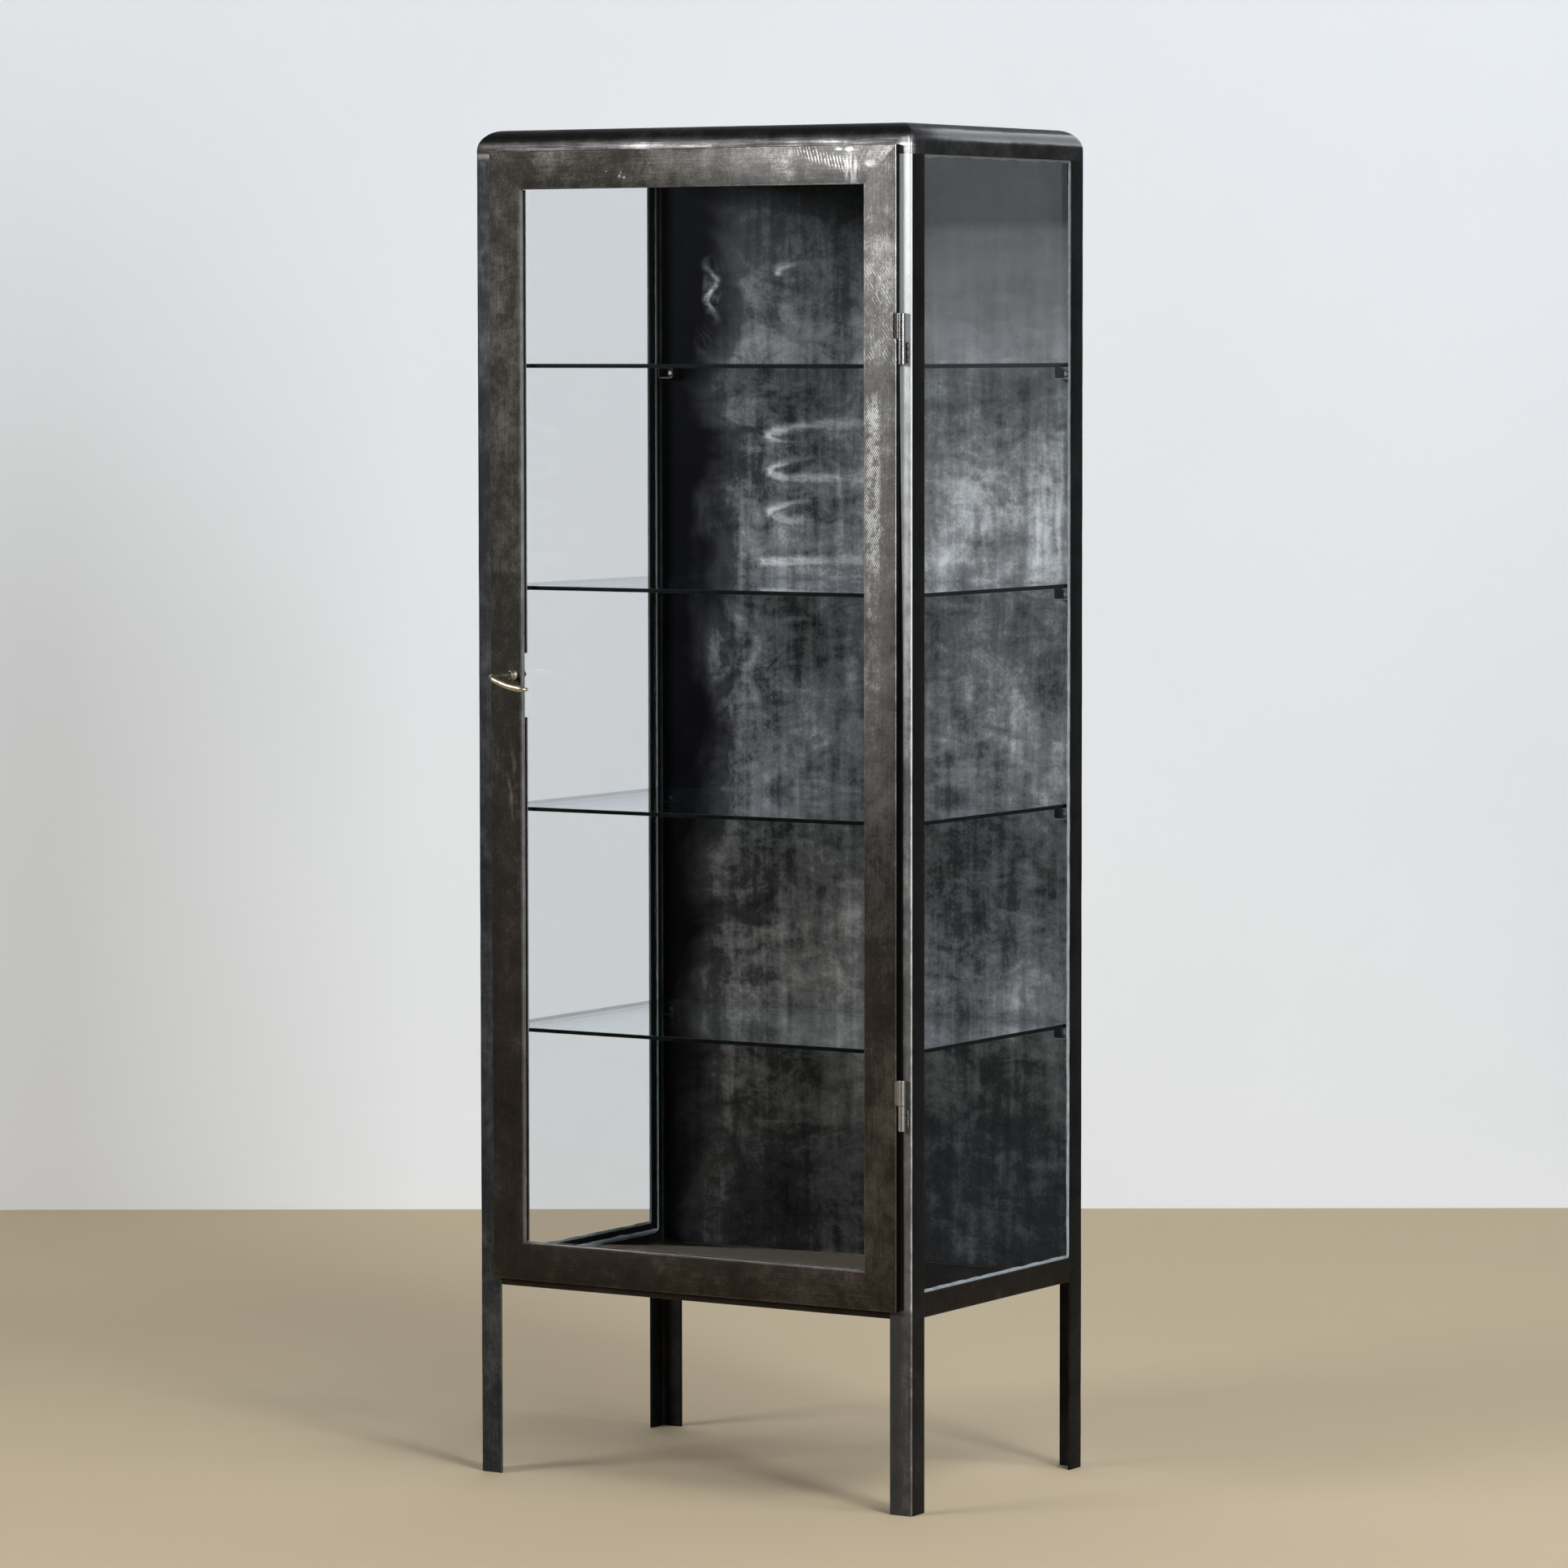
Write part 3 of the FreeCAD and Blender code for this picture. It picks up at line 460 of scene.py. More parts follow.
def back_sheet():
    """Sheet back: near black at one side and lighter towards the other, partly painted light, with cloudy wiped wax,
    runs and zig-zag hand strokes, front and rear.
    """
    g = Nodes("back_sheet")
    cloud = g.noise(6.0, (1.0, 1.0, 0.8), detail=6.0, rough=0.58, dist=1.0, seed=81.0)
    smear = g.noise(1.0, (17.0, 17.0, 34.0), detail=6.0, rough=0.64, dist=0.9, seed=90.0)
    run = g.noise(1.0, (62.0, 62.0, 6.0), detail=4.0, rough=0.6, dist=0.2, seed=82.0)
    mott = g.noise(64.0, detail=7.0, rough=0.70, dist=0.4, seed=83.0)
    fine = g.noise(330.0, detail=3.0, rough=0.6, seed=84.0)
    reach = g.rng(g.add(g.x, g.swing(cloud, 0.07), g.rng(g.z, 0.50, 0.66, 0.040, 0.0), g.rng(g.z, 1.33, 1.42, 0.0, -0.030)), -0.256, -0.168)
    # tone by bay and height, partly painted shade: darker at the top, under the cap
    bay_tones_and_shade = g.add(g.rng(g.z, 0.28, 0.62, 0.72, 1.10), g.rng(g.z, 0.76, 1.12, 0.0, 0.08), g.rng(g.z, 1.30, 1.45, 0.0, -0.40))
    far = g.rng(g.x, 0.02, 0.12)
    bay_tones_and_shade = g.add(bay_tones_and_shade, g.mul(g.rng(g.z, 1.52, 1.60, 0.0, -0.24), g.sub(1.0, far)))
    # painted light: lighter towards the right, with steps by height in the right part that offset the shadow edge of
    # the door's top rail, and a painted dark spot in the top right corner
    right = g.add(g.rng(g.x, -0.20, -0.03, 0.33, 0.46), g.mul(far, g.add(g.rng(g.z, 0.60, 0.95, -0.13, -0.07), g.rng(g.z, 1.34, 1.50, 0.04, 0.36), g.rng(g.z, 1.45, 1.56, 0.0, 0.30), g.rng(g.z, 1.35, 1.43, 0.0, -0.13), g.rng(g.z, 1.50, 1.525, 0.0, 0.13), g.rng(g.z, 1.53, 1.605, 0.0, -0.25), g.mul(g.blob(264.0, 1602.0, 16.0, 34.0), -0.55))),
                  g.mul(g.rng(g.z, 0.86, 0.72), g.rng(g.x, -0.16, -0.03), g.sub(1.0, far), 0.12))
    calm = g.sub(1.0, g.mul(far, g.rng(g.z, 1.30, 1.42, 0.0, 0.65)))
    part = g.mul(reach, bay_tones_and_shade)
    warp = g.swing(g.noise(18.0, detail=4.0, seed=85.0), 0.010)
    strokes = None
    for x0, x1, z0, slope, w, k in (
            (-140.0, 40.0, 1274.0, 0.070, 12.0, 0.85), (-139.0, 40.0, 1216.0, -0.02, 10.0, 0.75),
            (-138.0, -50.0, 1166.0, -0.14, 11.0, 0.70), (-149.0, 40.0, 1108.0, 0.02, 10.0, 0.85)):
        zz = g.add(g.z, g.mul(g.sub(g.x, x0 / 1000.0), -slope), g.mul(warp, 0.7), -z0 / 1000.0)
        d = g.math("ABSOLUTE", zz)
        line = g.rng(d, 0.0, w / 1000.0, 1.0, 0.0)
        veil = g.mul(g.rng(zz, 0.004, -0.003, 0.0, 1.0), g.rng(zz, -0.040, -0.004, 0.0, 0.30))
        ends = g.mul(g.rng(g.sub(g.x, g.mul(d, 0.5)), (x0 - 5.0) / 1000.0, (x0 + 5.0) / 1000.0),
                     g.rng(g.x, (x0 + 8.0) / 1000.0, x1 / 1000.0, 1.0, 0.15))
        m = g.mul(g.mx(line, veil), ends, k)
        strokes = m if strokes is None else g.mx(strokes, m)
    # hooked ends of the strokes: arcs open to the right
    for x0, z0, c, up, down, w, k in (
            (-142.0, 1268.0, 320.0, 0.012, 0.014, 8.0, 1.0), (-141.0, 1219.0, 105.0, 0.028, 0.007, 9.0, 1.0),
            (-140.0, 1170.0, 170.0, 0.020, 0.008, 9.0, 0.95), (-150.0, 1109.0, 380.0, 0.006, 0.010, 9.0, 0.9),
            (-128.0, 1470.0, 130.0, 0.018, 0.006, 10.0, 0.8)):
        dz = g.add(g.z, g.mul(warp, 0.5), -z0 / 1000.0)
        off = g.math("ABSOLUTE", g.add(g.x, g.mul(dz, dz, -c), g.mul(warp, 0.3), -x0 / 1000.0))
        lean = g.math("SQRT", g.math("MULTIPLY_ADD", g.mul(dz, dz), 4.0 * c * c, 1.0))
        arc = g.mul(g.rng(g.math("DIVIDE", off, lean), 0.0, w / 1000.0, 1.0, 0.0), g.rng(dz, up, 0.2 * up, 0.0, 1.0), g.rng(dz, -down, 0.0), k)
        strokes = g.mx(strokes, arc)
    # curled smears, top to bottom
    for x0, z0, amp, wave, tall, w, k in ((-226.0, 1449.0, 9.0, 48.0, 38.0, 9.0, 0.75), (-166.0, 985.0, 7.0, 70.0, 52.0, 12.0, 0.28)):
        sway = g.mul(g.math("SINE", g.mul(g.add(g.z, warp, -z0 / 1000.0), 2000.0 * math.pi / wave)), amp / 1000.0)
        off = g.math("ABSOLUTE", g.add(g.x, g.mul(sway, -1.0), g.mul(warp, 0.8), -x0 / 1000.0))
        strokes = g.mx(strokes, g.mul(g.rng(off, 0.0, w / 1000.0, 1.0, 0.0), g.blob(x0, z0, 60.0, tall), k))
    drag = g.noise(1.0, (30.0, 30.0, 150.0), detail=4.0, rough=0.68, seed=86.0)
    lit = g.mul(strokes, g.rng(drag, 0.25, 0.70, 0.45, 1.15))
    curl = g.noise(24.0, (1, 1, 0.75), detail=5.0, rough=0.62, dist=1.8, seed=87.0)
    spots = g.add(g.mul(g.blob(-226.0, 1446.0, 13.0, 40.0), 1.7), g.mul(g.blob(-238.0, 1385.0, 14.0, 22.0), 1.1),
                  g.mul(g.blob(-210.0, 960.0, 22.0, 70.0), 0.7), g.mul(g.blob(-165.0, 560.0, 60.0, 26.0), 0.7),
                  g.mul(g.blob(-165.0, 1190.0, 34.0, 80.0), 0.35), g.mul(g.blob(165.0, 1195.0, 52.0, 84.0), 0.45),
                  g.mul(g.blob(190.0, 945.0, 60.0, 80.0), 0.5), g.mul(g.blob(240.0, 1180.0, 40.0, 90.0), 0.5))
    spot = g.mul(spots, g.rng(curl, 0.40, 0.68))
    t = g.add(g.mul(part, right), g.mul(part, calm, g.add(g.swing(cloud, 0.40), g.swing(smear, 0.36), g.swing(run, 0.28), g.swing(mott, 0.22), g.swing(fine, 0.14))),
              g.mul(lit, 0.64), g.mul(spot, 0.30), g.mul(g.rng(g.x, 0.228, 0.252), g.rng(run, 0.30, 0.65, 0.06, 0.24), g.band(g.z, 1.11, 1.255, 0.03)), 0.012)
    # the outside has its own even, dull mottling
    ys = [v.co.y for v in nodes["back_panel"].data.vertices]
    mid = (min(ys) + max(ys)) / 2.0
    outer = g.rng(g.y, mid - 0.0002, mid + 0.0002)
    dull = g.add(g.swing(g.noise(5.0, detail=5.0, rough=0.6, seed=95.0), 0.20), g.swing(mott, 0.16), g.swing(fine, 0.10), 0.30)
    t = g.clamp(g.lerp(outer, t, dull))
    col = g.ramp(t, ((0.0, (0.0020, 0.0022, 0.0030)), (0.3, (0.0372, 0.0388, 0.0415)), (0.6, (0.163, 0.172, 0.182)), (1.0, (0.50, 0.53, 0.555))))
    col = g.mix(g.mul(g.rng(g.z, 0.84, 0.62), g.rng(g.x, 0.10, -0.05)), col, g.mix(1.0, col, (1.0, 0.955, 0.89), "MULTIPLY"))
    rough = g.add(g.lerp(t, 0.46, 0.52), g.swing(mott, 0.10))
    n = g.bump(g.noise(8.0, detail=1.0, seed=88.0), 0.003, 0.4)
    n = g.bump(mott, 0.00003, 0.4, n)
    g.surface(col, rough, n, 1.0)
    return g.m


M["back_panel"] = back_sheet()


# ------------------------------------------------------------------------------------------------ other finishes
def metal(name, a, b, r0, r1, seed, brush=(200.0, 200.0, 200.0), grime=0.5, rim=0.0, grime_col=(0.02, 0.017, 0.013), more=None):
    """Small worked metal parts: tone and roughness from fine scratches, grime in patches, edges rubbed bright."""
    g = Nodes(name)
    s = g.noise(1.0, brush, detail=4.0, rough=0.6, seed=seed)
    p = g.noise(130.0, detail=5.0, rough=0.65, seed=seed + 1.0)
    f = g.noise(900.0, detail=2.0, seed=seed + 2.0)
    col = g.mix(g.clamp(g.add(g.swing(s, 0.7), g.swing(f, 0.2), 0.5)), a, b)
    dirt = g.mul(g.rng(p, 0.48, 0.70), grime)
    col = g.mix(dirt, col, grime_col)
    rough = g.add(g.lerp(s, r0, r1), g.mul(dirt, 0.22))
    if rim > 0.0:
        bev = g.t.nodes.new("ShaderNodeBevel")
        bev.samples = 4
        bev.inputs["Radius"].default_value = rim
        geo = g.t.nodes.new("ShaderNodeNewGeometry")
        dot = g.t.nodes.new("ShaderNodeVectorMath")
        dot.operation = "DOT_PRODUCT"
        g.t.links.new(bev.outputs[0], dot.inputs[0])
        g.t.links.new(geo.outputs["Normal"], dot.inputs[1])
        e = g.mul(g.rng(dot.outputs["Value"], 0.97, 0.86, 0.0, 1.0), g.rng(p, 0.30, 0.55))
        col = g.mix(g.mul(e, 0.8), col, tuple(min(1.0, 1.35 * c) for c in b))
    if more:
        col, rough = more(g, col, rough)
    n = g.bump(s, 0.00003, 0.5)
    g.surface(col, rough, g.bump(p, 0.00008, 0.5, n), 1.0)
    return g.m


def hinge_dulling_and_notch_shade(g, col, rough):
    """Painted shade on the leaf in the stile's notch; the lower hinge is dull."""
    low = g.rng(g.z, 0.90, 0.60)
    col = g.mix(g.mul(low, 0.60), col, (0.46, 0.42, 0.38))
    notch_shade = g.rng(g.x, (HIN_X - HIN_R + 0.9) / 1000.0, (HIN_X - HIN_R + 0.1) / 1000.0)
    col = g.mix(g.mul(notch_shade, g.lerp(low, 0.94, 0.70)), col, (0.008, 0.007, 0.006))
    return col, g.add(rough, g.mul(low, 0.16), g.mul(notch_shade, 0.15))


def bracket_right_highlight(g, col, rough):
    """The hooks at the right are painted lighter, a painted highlight."""
    return g.mix(g.rng(g.x, 0.10, 0.26, 0.0, 0.75), col, (0.24, 0.25, 0.26)), rough


M["nickel"] = metal("nickel", (0.46, 0.41, 0.29), (0.70, 0.65, 0.51), 0.30, 0.44, 101.0, (60.0, 60.0, 60.0), grime=0.45, grime_col=(0.10, 0.08, 0.045))
M["hinge"] = metal("hinge_steel", (0.24, 0.235, 0.225), (0.56, 0.555, 0.54), 0.15, 0.28, 104.0, (60.0, 60.0, 900.0), grime=0.5, more=hinge_dulling_and_notch_shade)
M["pin"] = metal("pin_steel", (0.30, 0.29, 0.28), (0.55, 0.54, 0.52), 0.25, 0.4, 107.0, grime=0.4)
M["brass"] = metal("washer_brass", (0.34, 0.29, 0.19), (0.58, 0.52, 0.39), 0.28, 0.45, 110.0, grime=0.6)
M["bracket"] = metal("bracket_steel", (0.035, 0.035, 0.036), (0.085, 0.085, 0.085), 0.40, 0.58, 113.0, grime=0.4, rim=0.0005, more=bracket_right_highlight)
M["screw"] = metal("screw_steel", (0.16, 0.16, 0.155), (0.40, 0.40, 0.395), 0.28, 0.45, 116.0, grime=0.5, rim=0.0005)
M["latch"] = metal("latch_steel", (0.16, 0.155, 0.15), (0.40, 0.39, 0.38), 0.3, 0.5, 119.0, grime=0.6, rim=0.0008)
M["weld"] = metal("weld_steel", (0.045, 0.043, 0.04), (0.24, 0.235, 0.23), 0.34, 0.55, 122.0, (500.0, 500.0, 160.0), grime=0.6)


def putty_material():
    g = Nodes("putty")
    a = g.noise(90.0, detail=5.0, rough=0.6, seed=131.0)
    b = g.noise(700.0, detail=3.0, seed=132.0)
    col = g.ramp(g.clamp(g.add(g.swing(a, 0.5), g.swing(b, 0.2), 0.55)),
                 ((0.0, (0.10, 0.11, 0.115)), (0.45, (0.34, 0.39, 0.42)), (1.0, (0.60, 0.66, 0.69))))
    # painted shade: darker higher up, most where it is under the cap
    col = g.mix(g.mx(g.rng(g.z, 1.575, 1.598, 0.0, 0.62), g.rng(g.z, 0.9, 1.45, 0.0, 0.40)), col, (0.075, 0.08, 0.083))
    g.surface(col, g.lerp(a, 0.35, 0.6), g.bump(g.add(a, g.mul(b, 0.3)), 0.0003, 0.6), 0.0)
    return g.m


M["putty"] = putty_material()


def pane(name, tint, seed, edge=None):
    """Clear sheet glass: lets light straight through, mirrors more at a slant, carries a breath of wiped dust."""
    g = Nodes(name)
    lw = g.t.nodes.new("ShaderNodeLayerWeight")
    lw.inputs["Blend"].default_value = 0.5
    f5 = g.math("POWER", lw.outputs["Facing"], 5.0)
    fres = g.math("MULTIPLY_ADD", f5, 0.90, 0.04)
    tr = g.t.nodes.new("ShaderNodeBsdfTransparent")
    tr.inputs["Color"].default_value = (*tint, 1.0)
    gl = g.t.nodes.new("ShaderNodeBsdfGlossy")
    gl.inputs["Color"].default_value = (0.95, 0.97, 1.0, 1.0)
    smear = g.noise(9.0, (1.0, 1.0, 0.5), detail=6.0, rough=0.62, dist=0.8, seed=seed)
    g.feed(gl.inputs["Roughness"], g.rng(smear, 0.45, 0.8, 0.004, 0.05))
    m1 = g.t.nodes.new("ShaderNodeMixShader")
    g.feed(m1.inputs[0], fres)
    g.t.links.new(tr.outputs[0], m1.inputs[1])
    g.t.links.new(gl.outputs[0], m1.inputs[2])
    df = g.t.nodes.new("ShaderNodeBsdfDiffuse")
    df.inputs["Color"].default_value = (0.55, 0.60, 0.62, 1.0)
    m2 = g.t.nodes.new("ShaderNodeMixShader")
    g.feed(m2.inputs[0], g.rng(smear, 0.42, 0.85, 0.0001, 0.0022))
    g.t.links.new(m1.outputs[0], m2.inputs[1])
    g.t.links.new(df.outputs[0], m2.inputs[2])
    last = m2
    if edge is not None:
        geo = g.t.nodes.new("ShaderNodeNewGeometry")
        s = g.t.nodes.new("ShaderNodeSeparateXYZ")
        g.t.links.new(geo.outputs["True Normal"], s.inputs[0])
        flat = g.math("ABSOLUTE", s.outputs[2])
        pr = g.t.nodes.new("ShaderNodeBsdfPrincipled")
        ev = g.noise(40.0, (1.0, 1.0, 6.0), detail=4.0, seed=seed + 3.0)
        g.feed(pr.inputs["Base Color"], g.mix(g.rng(ev, 0.4, 0.75), edge, tuple(4.0 * c for c in edge)))
        g.feed(pr.inputs["Roughness"], g.lerp(ev, 0.25, 0.45))
        pr.inputs["Specular IOR Level"].default_value = 0.06
        m3 = g.t.nodes.new("ShaderNodeMixShader")
        g.feed(m3.inputs[0], g.rng(flat, 0.55, 0.9))
        g.t.links.new(pr.outputs[0], m3.inputs[1])
        g.t.links.new(m2.outputs[0], m3.inputs[2])
        last = m3
    g.t.links.new(last.outputs[0], g.out.inputs["Surface"])
    return g.m


M["pane"] = pane("pane_glass", (0.985, 0.99, 0.994), 141.0)
M["shelf"] = pane("shelf_glass", (0.965, 0.988, 0.982), 145.0, edge=(0.0007, 0.0026, 0.0022))


# ------------------------------------------------------------------------------------------------ mesh helpers
def finish_mesh(name, bm, mat, body, stands_for=(), angle=40.0):
    bmesh.ops.remove_doubles(bm, verts=bm.verts, dist=1e-7)
    bmesh.ops.recalc_face_normals(bm, faces=bm.faces)
    me = bpy.data.meshes.new(name)
    bm.to_mesh(me)
    bm.free()
    for p in me.polygons:
        p.use_smooth = True
    me.set_sharp_from_angle(angle=math.radians(angle))
    me.materials.append(mat)
    ob = bpy.data.objects.new(name, me)
    scene.collection.objects.link(ob)
    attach(ob, body)
    if stands_for:
        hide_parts(*stands_for)
    return ob


def round_poly(pts, radii, seg=5):
    """Closed 2-D outline with rounded corners."""
    out = []
    n = len(pts)
    for i in range(n):
        p0, p1, p2 = Vector(pts[i - 1]), Vector(pts[i]), Vector(pts[(i + 1) % n])
        r = radii[i]
        if r <= 0.0:
            out.append(p1)
            continue
        a, b = (p0 - p1).normalized(), (p2 - p1).normalized()
        ang = math.acos(max(-1.0, min(1.0, a.dot(b))))
        t = r / math.tan(ang / 2.0)
        c = p1 + (a + b).normalized() * (r / math.sin(ang / 2.0))
        s, e = p1 + a * t - c, p1 + b * t - c
        a0, a1 = math.atan2(s.y, s.x), math.atan2(e.y, e.x)
        d = (a1 - a0 + math.pi) % (2.0 * math.pi) - math.pi
        for k in range(seg + 1):
            th = a0 + d * k / seg
            out.append(c + Vector((math.cos(th), math.sin(th))) * r)
    return out


def skin(rings, closed_ends=True, loop=False):
    """Quads between rings of equal length."""
    bm = bmesh.new()
    vs = [[bm.verts.new(p) for p in r] for r in rings]
    n = len(vs[0])
    last = len(vs) if loop else len(vs) - 1
    for i in range(last):
        a, b = vs[i], vs[(i + 1) % len(vs)]
        for k in range(n):
            bm.faces.new((a[k], a[(k + 1) % n], b[(k + 1) % n], b[k]))
    if closed_ends and not loop:
        bm.faces.new(vs[0])
        bm.faces.new(list(reversed(vs[-1])))
    return bm


def stations(a, b, step):
    n = max(2, int(round((b - a) / step)))
    return [a + (b - a) * i / n for i in range(n + 1)]


def angle_outline(corner):
    return round_poly([(0, 0), (LEG, 0), (LEG, ANG), (ANG, ANG), (ANG, LEG), (0, LEG)],
                      [corner, 0.5, TOE, ROOT, TOE, 0.5])


# ------------------------------------------------------------------------------------------------ posts and rails
for name, sx, sy, mat in (("post_front_left", -1, -1, "post_left"), ("post_front_right", 1, -1, "post_right"),
                          ("post_rear_left", -1, 1, "post_rear"), ("post_rear_right", 1, 1, "post_rear")):
    rings = []
    for z in [0.0, 0.5] + stations(12.0, CAP_Z, 20.0):
        fade = min(1.0, (CAP_Z - z) / 60.0)
        seed = 11.0 * sx + 5.0 * sy
        r = 2.3 + fade * (0.55 * wob(z / 46.0, 0.3, 0.7, seed) + 0.25 * wob(z / 13.0, 1.3, 2.7, seed))
        dent = fade * 0.16 * max(0.0, wob(z / 30.0, 4.1, 0.2, seed + 3.0))
        inset = 0.45 if z == 0.0 else 0.0
        ring = []
        for u, v in angle_outline(r):
            mid = 0.5 * ANG
            if inset:
                u = u + (inset if u < mid else -inset if u > LEG - mid else 0.0)
                v = v + (inset if v < mid else -inset if v > LEG - mid else 0.0)
            u2 = max(u, dent) if u < 0.6 else u
            ring.append(P(sx * (HW - u2), sy * (HD - v), z))
        rings.append(ring)
    finish_mesh("angle_" + name, skin(rings), M[mat], "cabinet", (name,))

for name, a, b, put3, mat in (
        ("rail_bottom_front", -HW + LEG, HW - LEG, lambda s, u, v: P(s, -HD + u, RAIL_Z + v), "rails"),
        ("rail_bottom_rear", -HW + LEG, HW - LEG, lambda s, u, v: P(s, HD - u, RAIL_Z + v), "rails"),
        ("rail_bottom_left", -HD + LEG, HD - LEG, lambda s, u, v: P(-HW + u, s, RAIL_Z + v), "rails_y"),
        ("rail_bottom_right", -HD + LEG, HD - LEG, lambda s, u, v: P(HW - u, s, RAIL_Z + v), "rails_y")):
    rings = []
    for s in stations(a, b, 20.0):
        r = 1.7 + 0.35 * wob(s / 40.0, 0.4, 0.9, len(name) * 1.1)
        rings.append([put3(s, u, v) for u, v in angle_outline(r)])
    finish_mesh("angle_" + name, skin(rings), M[mat], "cabinet", (name,))


# ------------------------------------------------------------------------------------------------ cap
def plan_ring(hx, hy, r, z, dip=0.0):
    """Rounded rectangle at height z, with points along its sides; dip presses it in a little, unevenly."""
    out = []
    sides = ((1, -1), (1, 1), (-1, 1), (-1, -1))
    for i, (cx, cy) in enumerate(sides):
        c = Vector((cx * (hx - r), cy * (hy - r)))
        a0 = math.atan2(cy, 0) if i % 2 == 0 else math.atan2(0, cx)
        start = {0: -90.0, 1: 0.0, 2: 90.0, 3: 180.0}[i]
        for k in range(9):
            th = math.radians(start + 90.0 * k / 8.0)
            out.append(c + Vector((math.cos(th), math.sin(th))) * r)
        nx, ny = sides[(i + 1) % 4]
        e = Vector((nx * (hx - r), ny * (hy - r)))
        q0 = out[-1]
        th = math.radians(start + 90.0)
        q1 = e + Vector((math.cos(th), math.sin(th))) * r
        for k in range(1, 24):
            out.append(q0.lerp(q1, k / 24.0))
    pts = []
    for p in out:
        d = dip * max(0.0, wob(p.x / 55.0, p.y / 55.0, z / 9.0, 3.3))
        f = Vector((p.x, p.y)).normalized() * d
        pts.append(P(p.x - f.x, p.y - f.y, z - 0.4 * d))
    return pts


bm = bmesh.new()
prof = [(0.0, CAP_Z, 2.3, 0.0), (0.0, CAP_Z + 6.0, 2.3, 0.05), (0.0, TOP - CAP_R, 2.4, 0.1)]
for k in range(1, 13):
    th = math.radians(90.0 * k / 12.0)
    prof.append((CAP_R * (1.0 - math.cos(th)), TOP - CAP_R + CAP_R * math.sin(th), 2.4 + 1.6 * k / 12.0, 0.30 if k < 11 else 0.0))
outer = [plan_ring(HW - i, HD - i, r, z, d) for i, z, r, d in prof]
r_in = CAP_R - CAP_T
prof = [(CAP_T, CAP_Z, 1.0), (CAP_T, TOP - CAP_R, 1.0)]
for k in range(1, 9):
    th = math.radians(90.0 * k / 8.0)
    prof.append((CAP_T + r_in * (1.0 - math.cos(th)), TOP - CAP_R + r_in * math.sin(th), 1.0 + k / 8.0))
inner = [plan_ring(HW - i, HD - i, r, z) for i, z, r in prof]
rows = [[bm.verts.new(p) for p in ring] for ring in list(reversed(inner)) + outer]
n = len(rows[0])
for a, b in zip(rows, rows[1:]):
    for k in range(n):
        bm.faces.new((a[k], a[(k + 1) % n], b[(k + 1) % n], b[k]))
bm.faces.new(rows[0])
bm.faces.new(list(reversed(rows[-1])))
finish_mesh("rounded_top_cap", bm, M["cap"], "cabinet", ("top_cap",), 30.0)


# ------------------------------------------------------------------------------------------------ door frame
def door_outline(w, s, seed):
    o = 1.35 + 0.35 * wob(s / 37.0, 0.2, 0.6, seed)
    i = 1.05 + 0.25 * wob(s / 31.0, 0.8, 0.1, seed + 2.0)
    return round_poly([(0, DYF), (w, DYF), (w, DYB), (0, DYB)], [o, i, 0.7, 0.7], 4)


def cut_boxes(ob, boxes):
    """Takes boxes out of a closed mesh for good."""
    made = []
    for lo, hi in boxes:
        c = bmesh.new()
        bmesh.ops.create_cube(c, size=1.0)
        for v in c.verts:
            v.co = Vector(lo[i] if v.co[i] < 0 else hi[i] for i in range(3))
        me = bpy.data.meshes.new("cutter")
        c.to_mesh(me)
        c.free()
        k = bpy.data.objects.new("cutter", me)
        scene.collection.objects.link(k)
        made.append(k)
        mod = ob.modifiers.new("cut", "BOOLEAN")
        mod.operation = "DIFFERENCE"
        mod.solver = "EXACT"
        mod.object = k
    bpy.context.view_layer.update()
    dg = bpy.context.evaluated_depsgraph_get()
    me = bpy.data.meshes.new_from_object(ob.evaluated_get(dg))
    ob.modifiers.clear()
    old, ob.data = ob.data, me
    me.name = ob.name
    bpy.data.meshes.remove(old)
    for k in made:
        me = k.data
        bpy.data.objects.remove(k)
        bpy.data.meshes.remove(me)


def door_member(name, w, other, length, put3, mat):
    rings = []
    for s in stations(0.0, 1.0, 20.0 / length):
        prof = door_outline(w, s * length, len(name) * 2.3)
        rings.append([put3(u, y, s) for u, y in prof])
    return finish_mesh("frame_" + name, skin(rings), M[mat], "door", (name,))


def lerp(a, b, t):
    return a + (b - a) * t


mz, mxr = RAIL / STILE, STILE / RAIL
door_member("door_stile_left", STILE, RAIL, DZ1 - DZ0, lambda u, y, s: P(DX0 + u, y, lerp(DZ0 + u * mz, DZ1 - u * mz, s)), "door")
right = door_member("door_stile_right", STILE, RAIL, DZ1 - DZ0, lambda u, y, s: P(DX1 - u, y, lerp(DZ0 + u * mz, DZ1 - u * mz, s)), "door")
door_member("door_rail_top", RAIL, STILE, DX1 - DX0, lambda u, y, s: P(lerp(DX0 + u * mxr, DX1 - u * mxr, s), y, DZ1 - u), "door")
door_member("door_rail_bottom", RAIL, STILE, DX1 - DX0, lambda u, y, s: P(lerp(DX0 + u * mxr, DX1 - u * mxr, s), y, DZ0 + u), "door")
cut_boxes(right, [(P(DX1 - 4.0, DYF - 1.0, z + 1.3), P(DX1 + 1.0, DYB + 1.0, z + 1.3 + UP_LEN)) for z in HIN_Z])


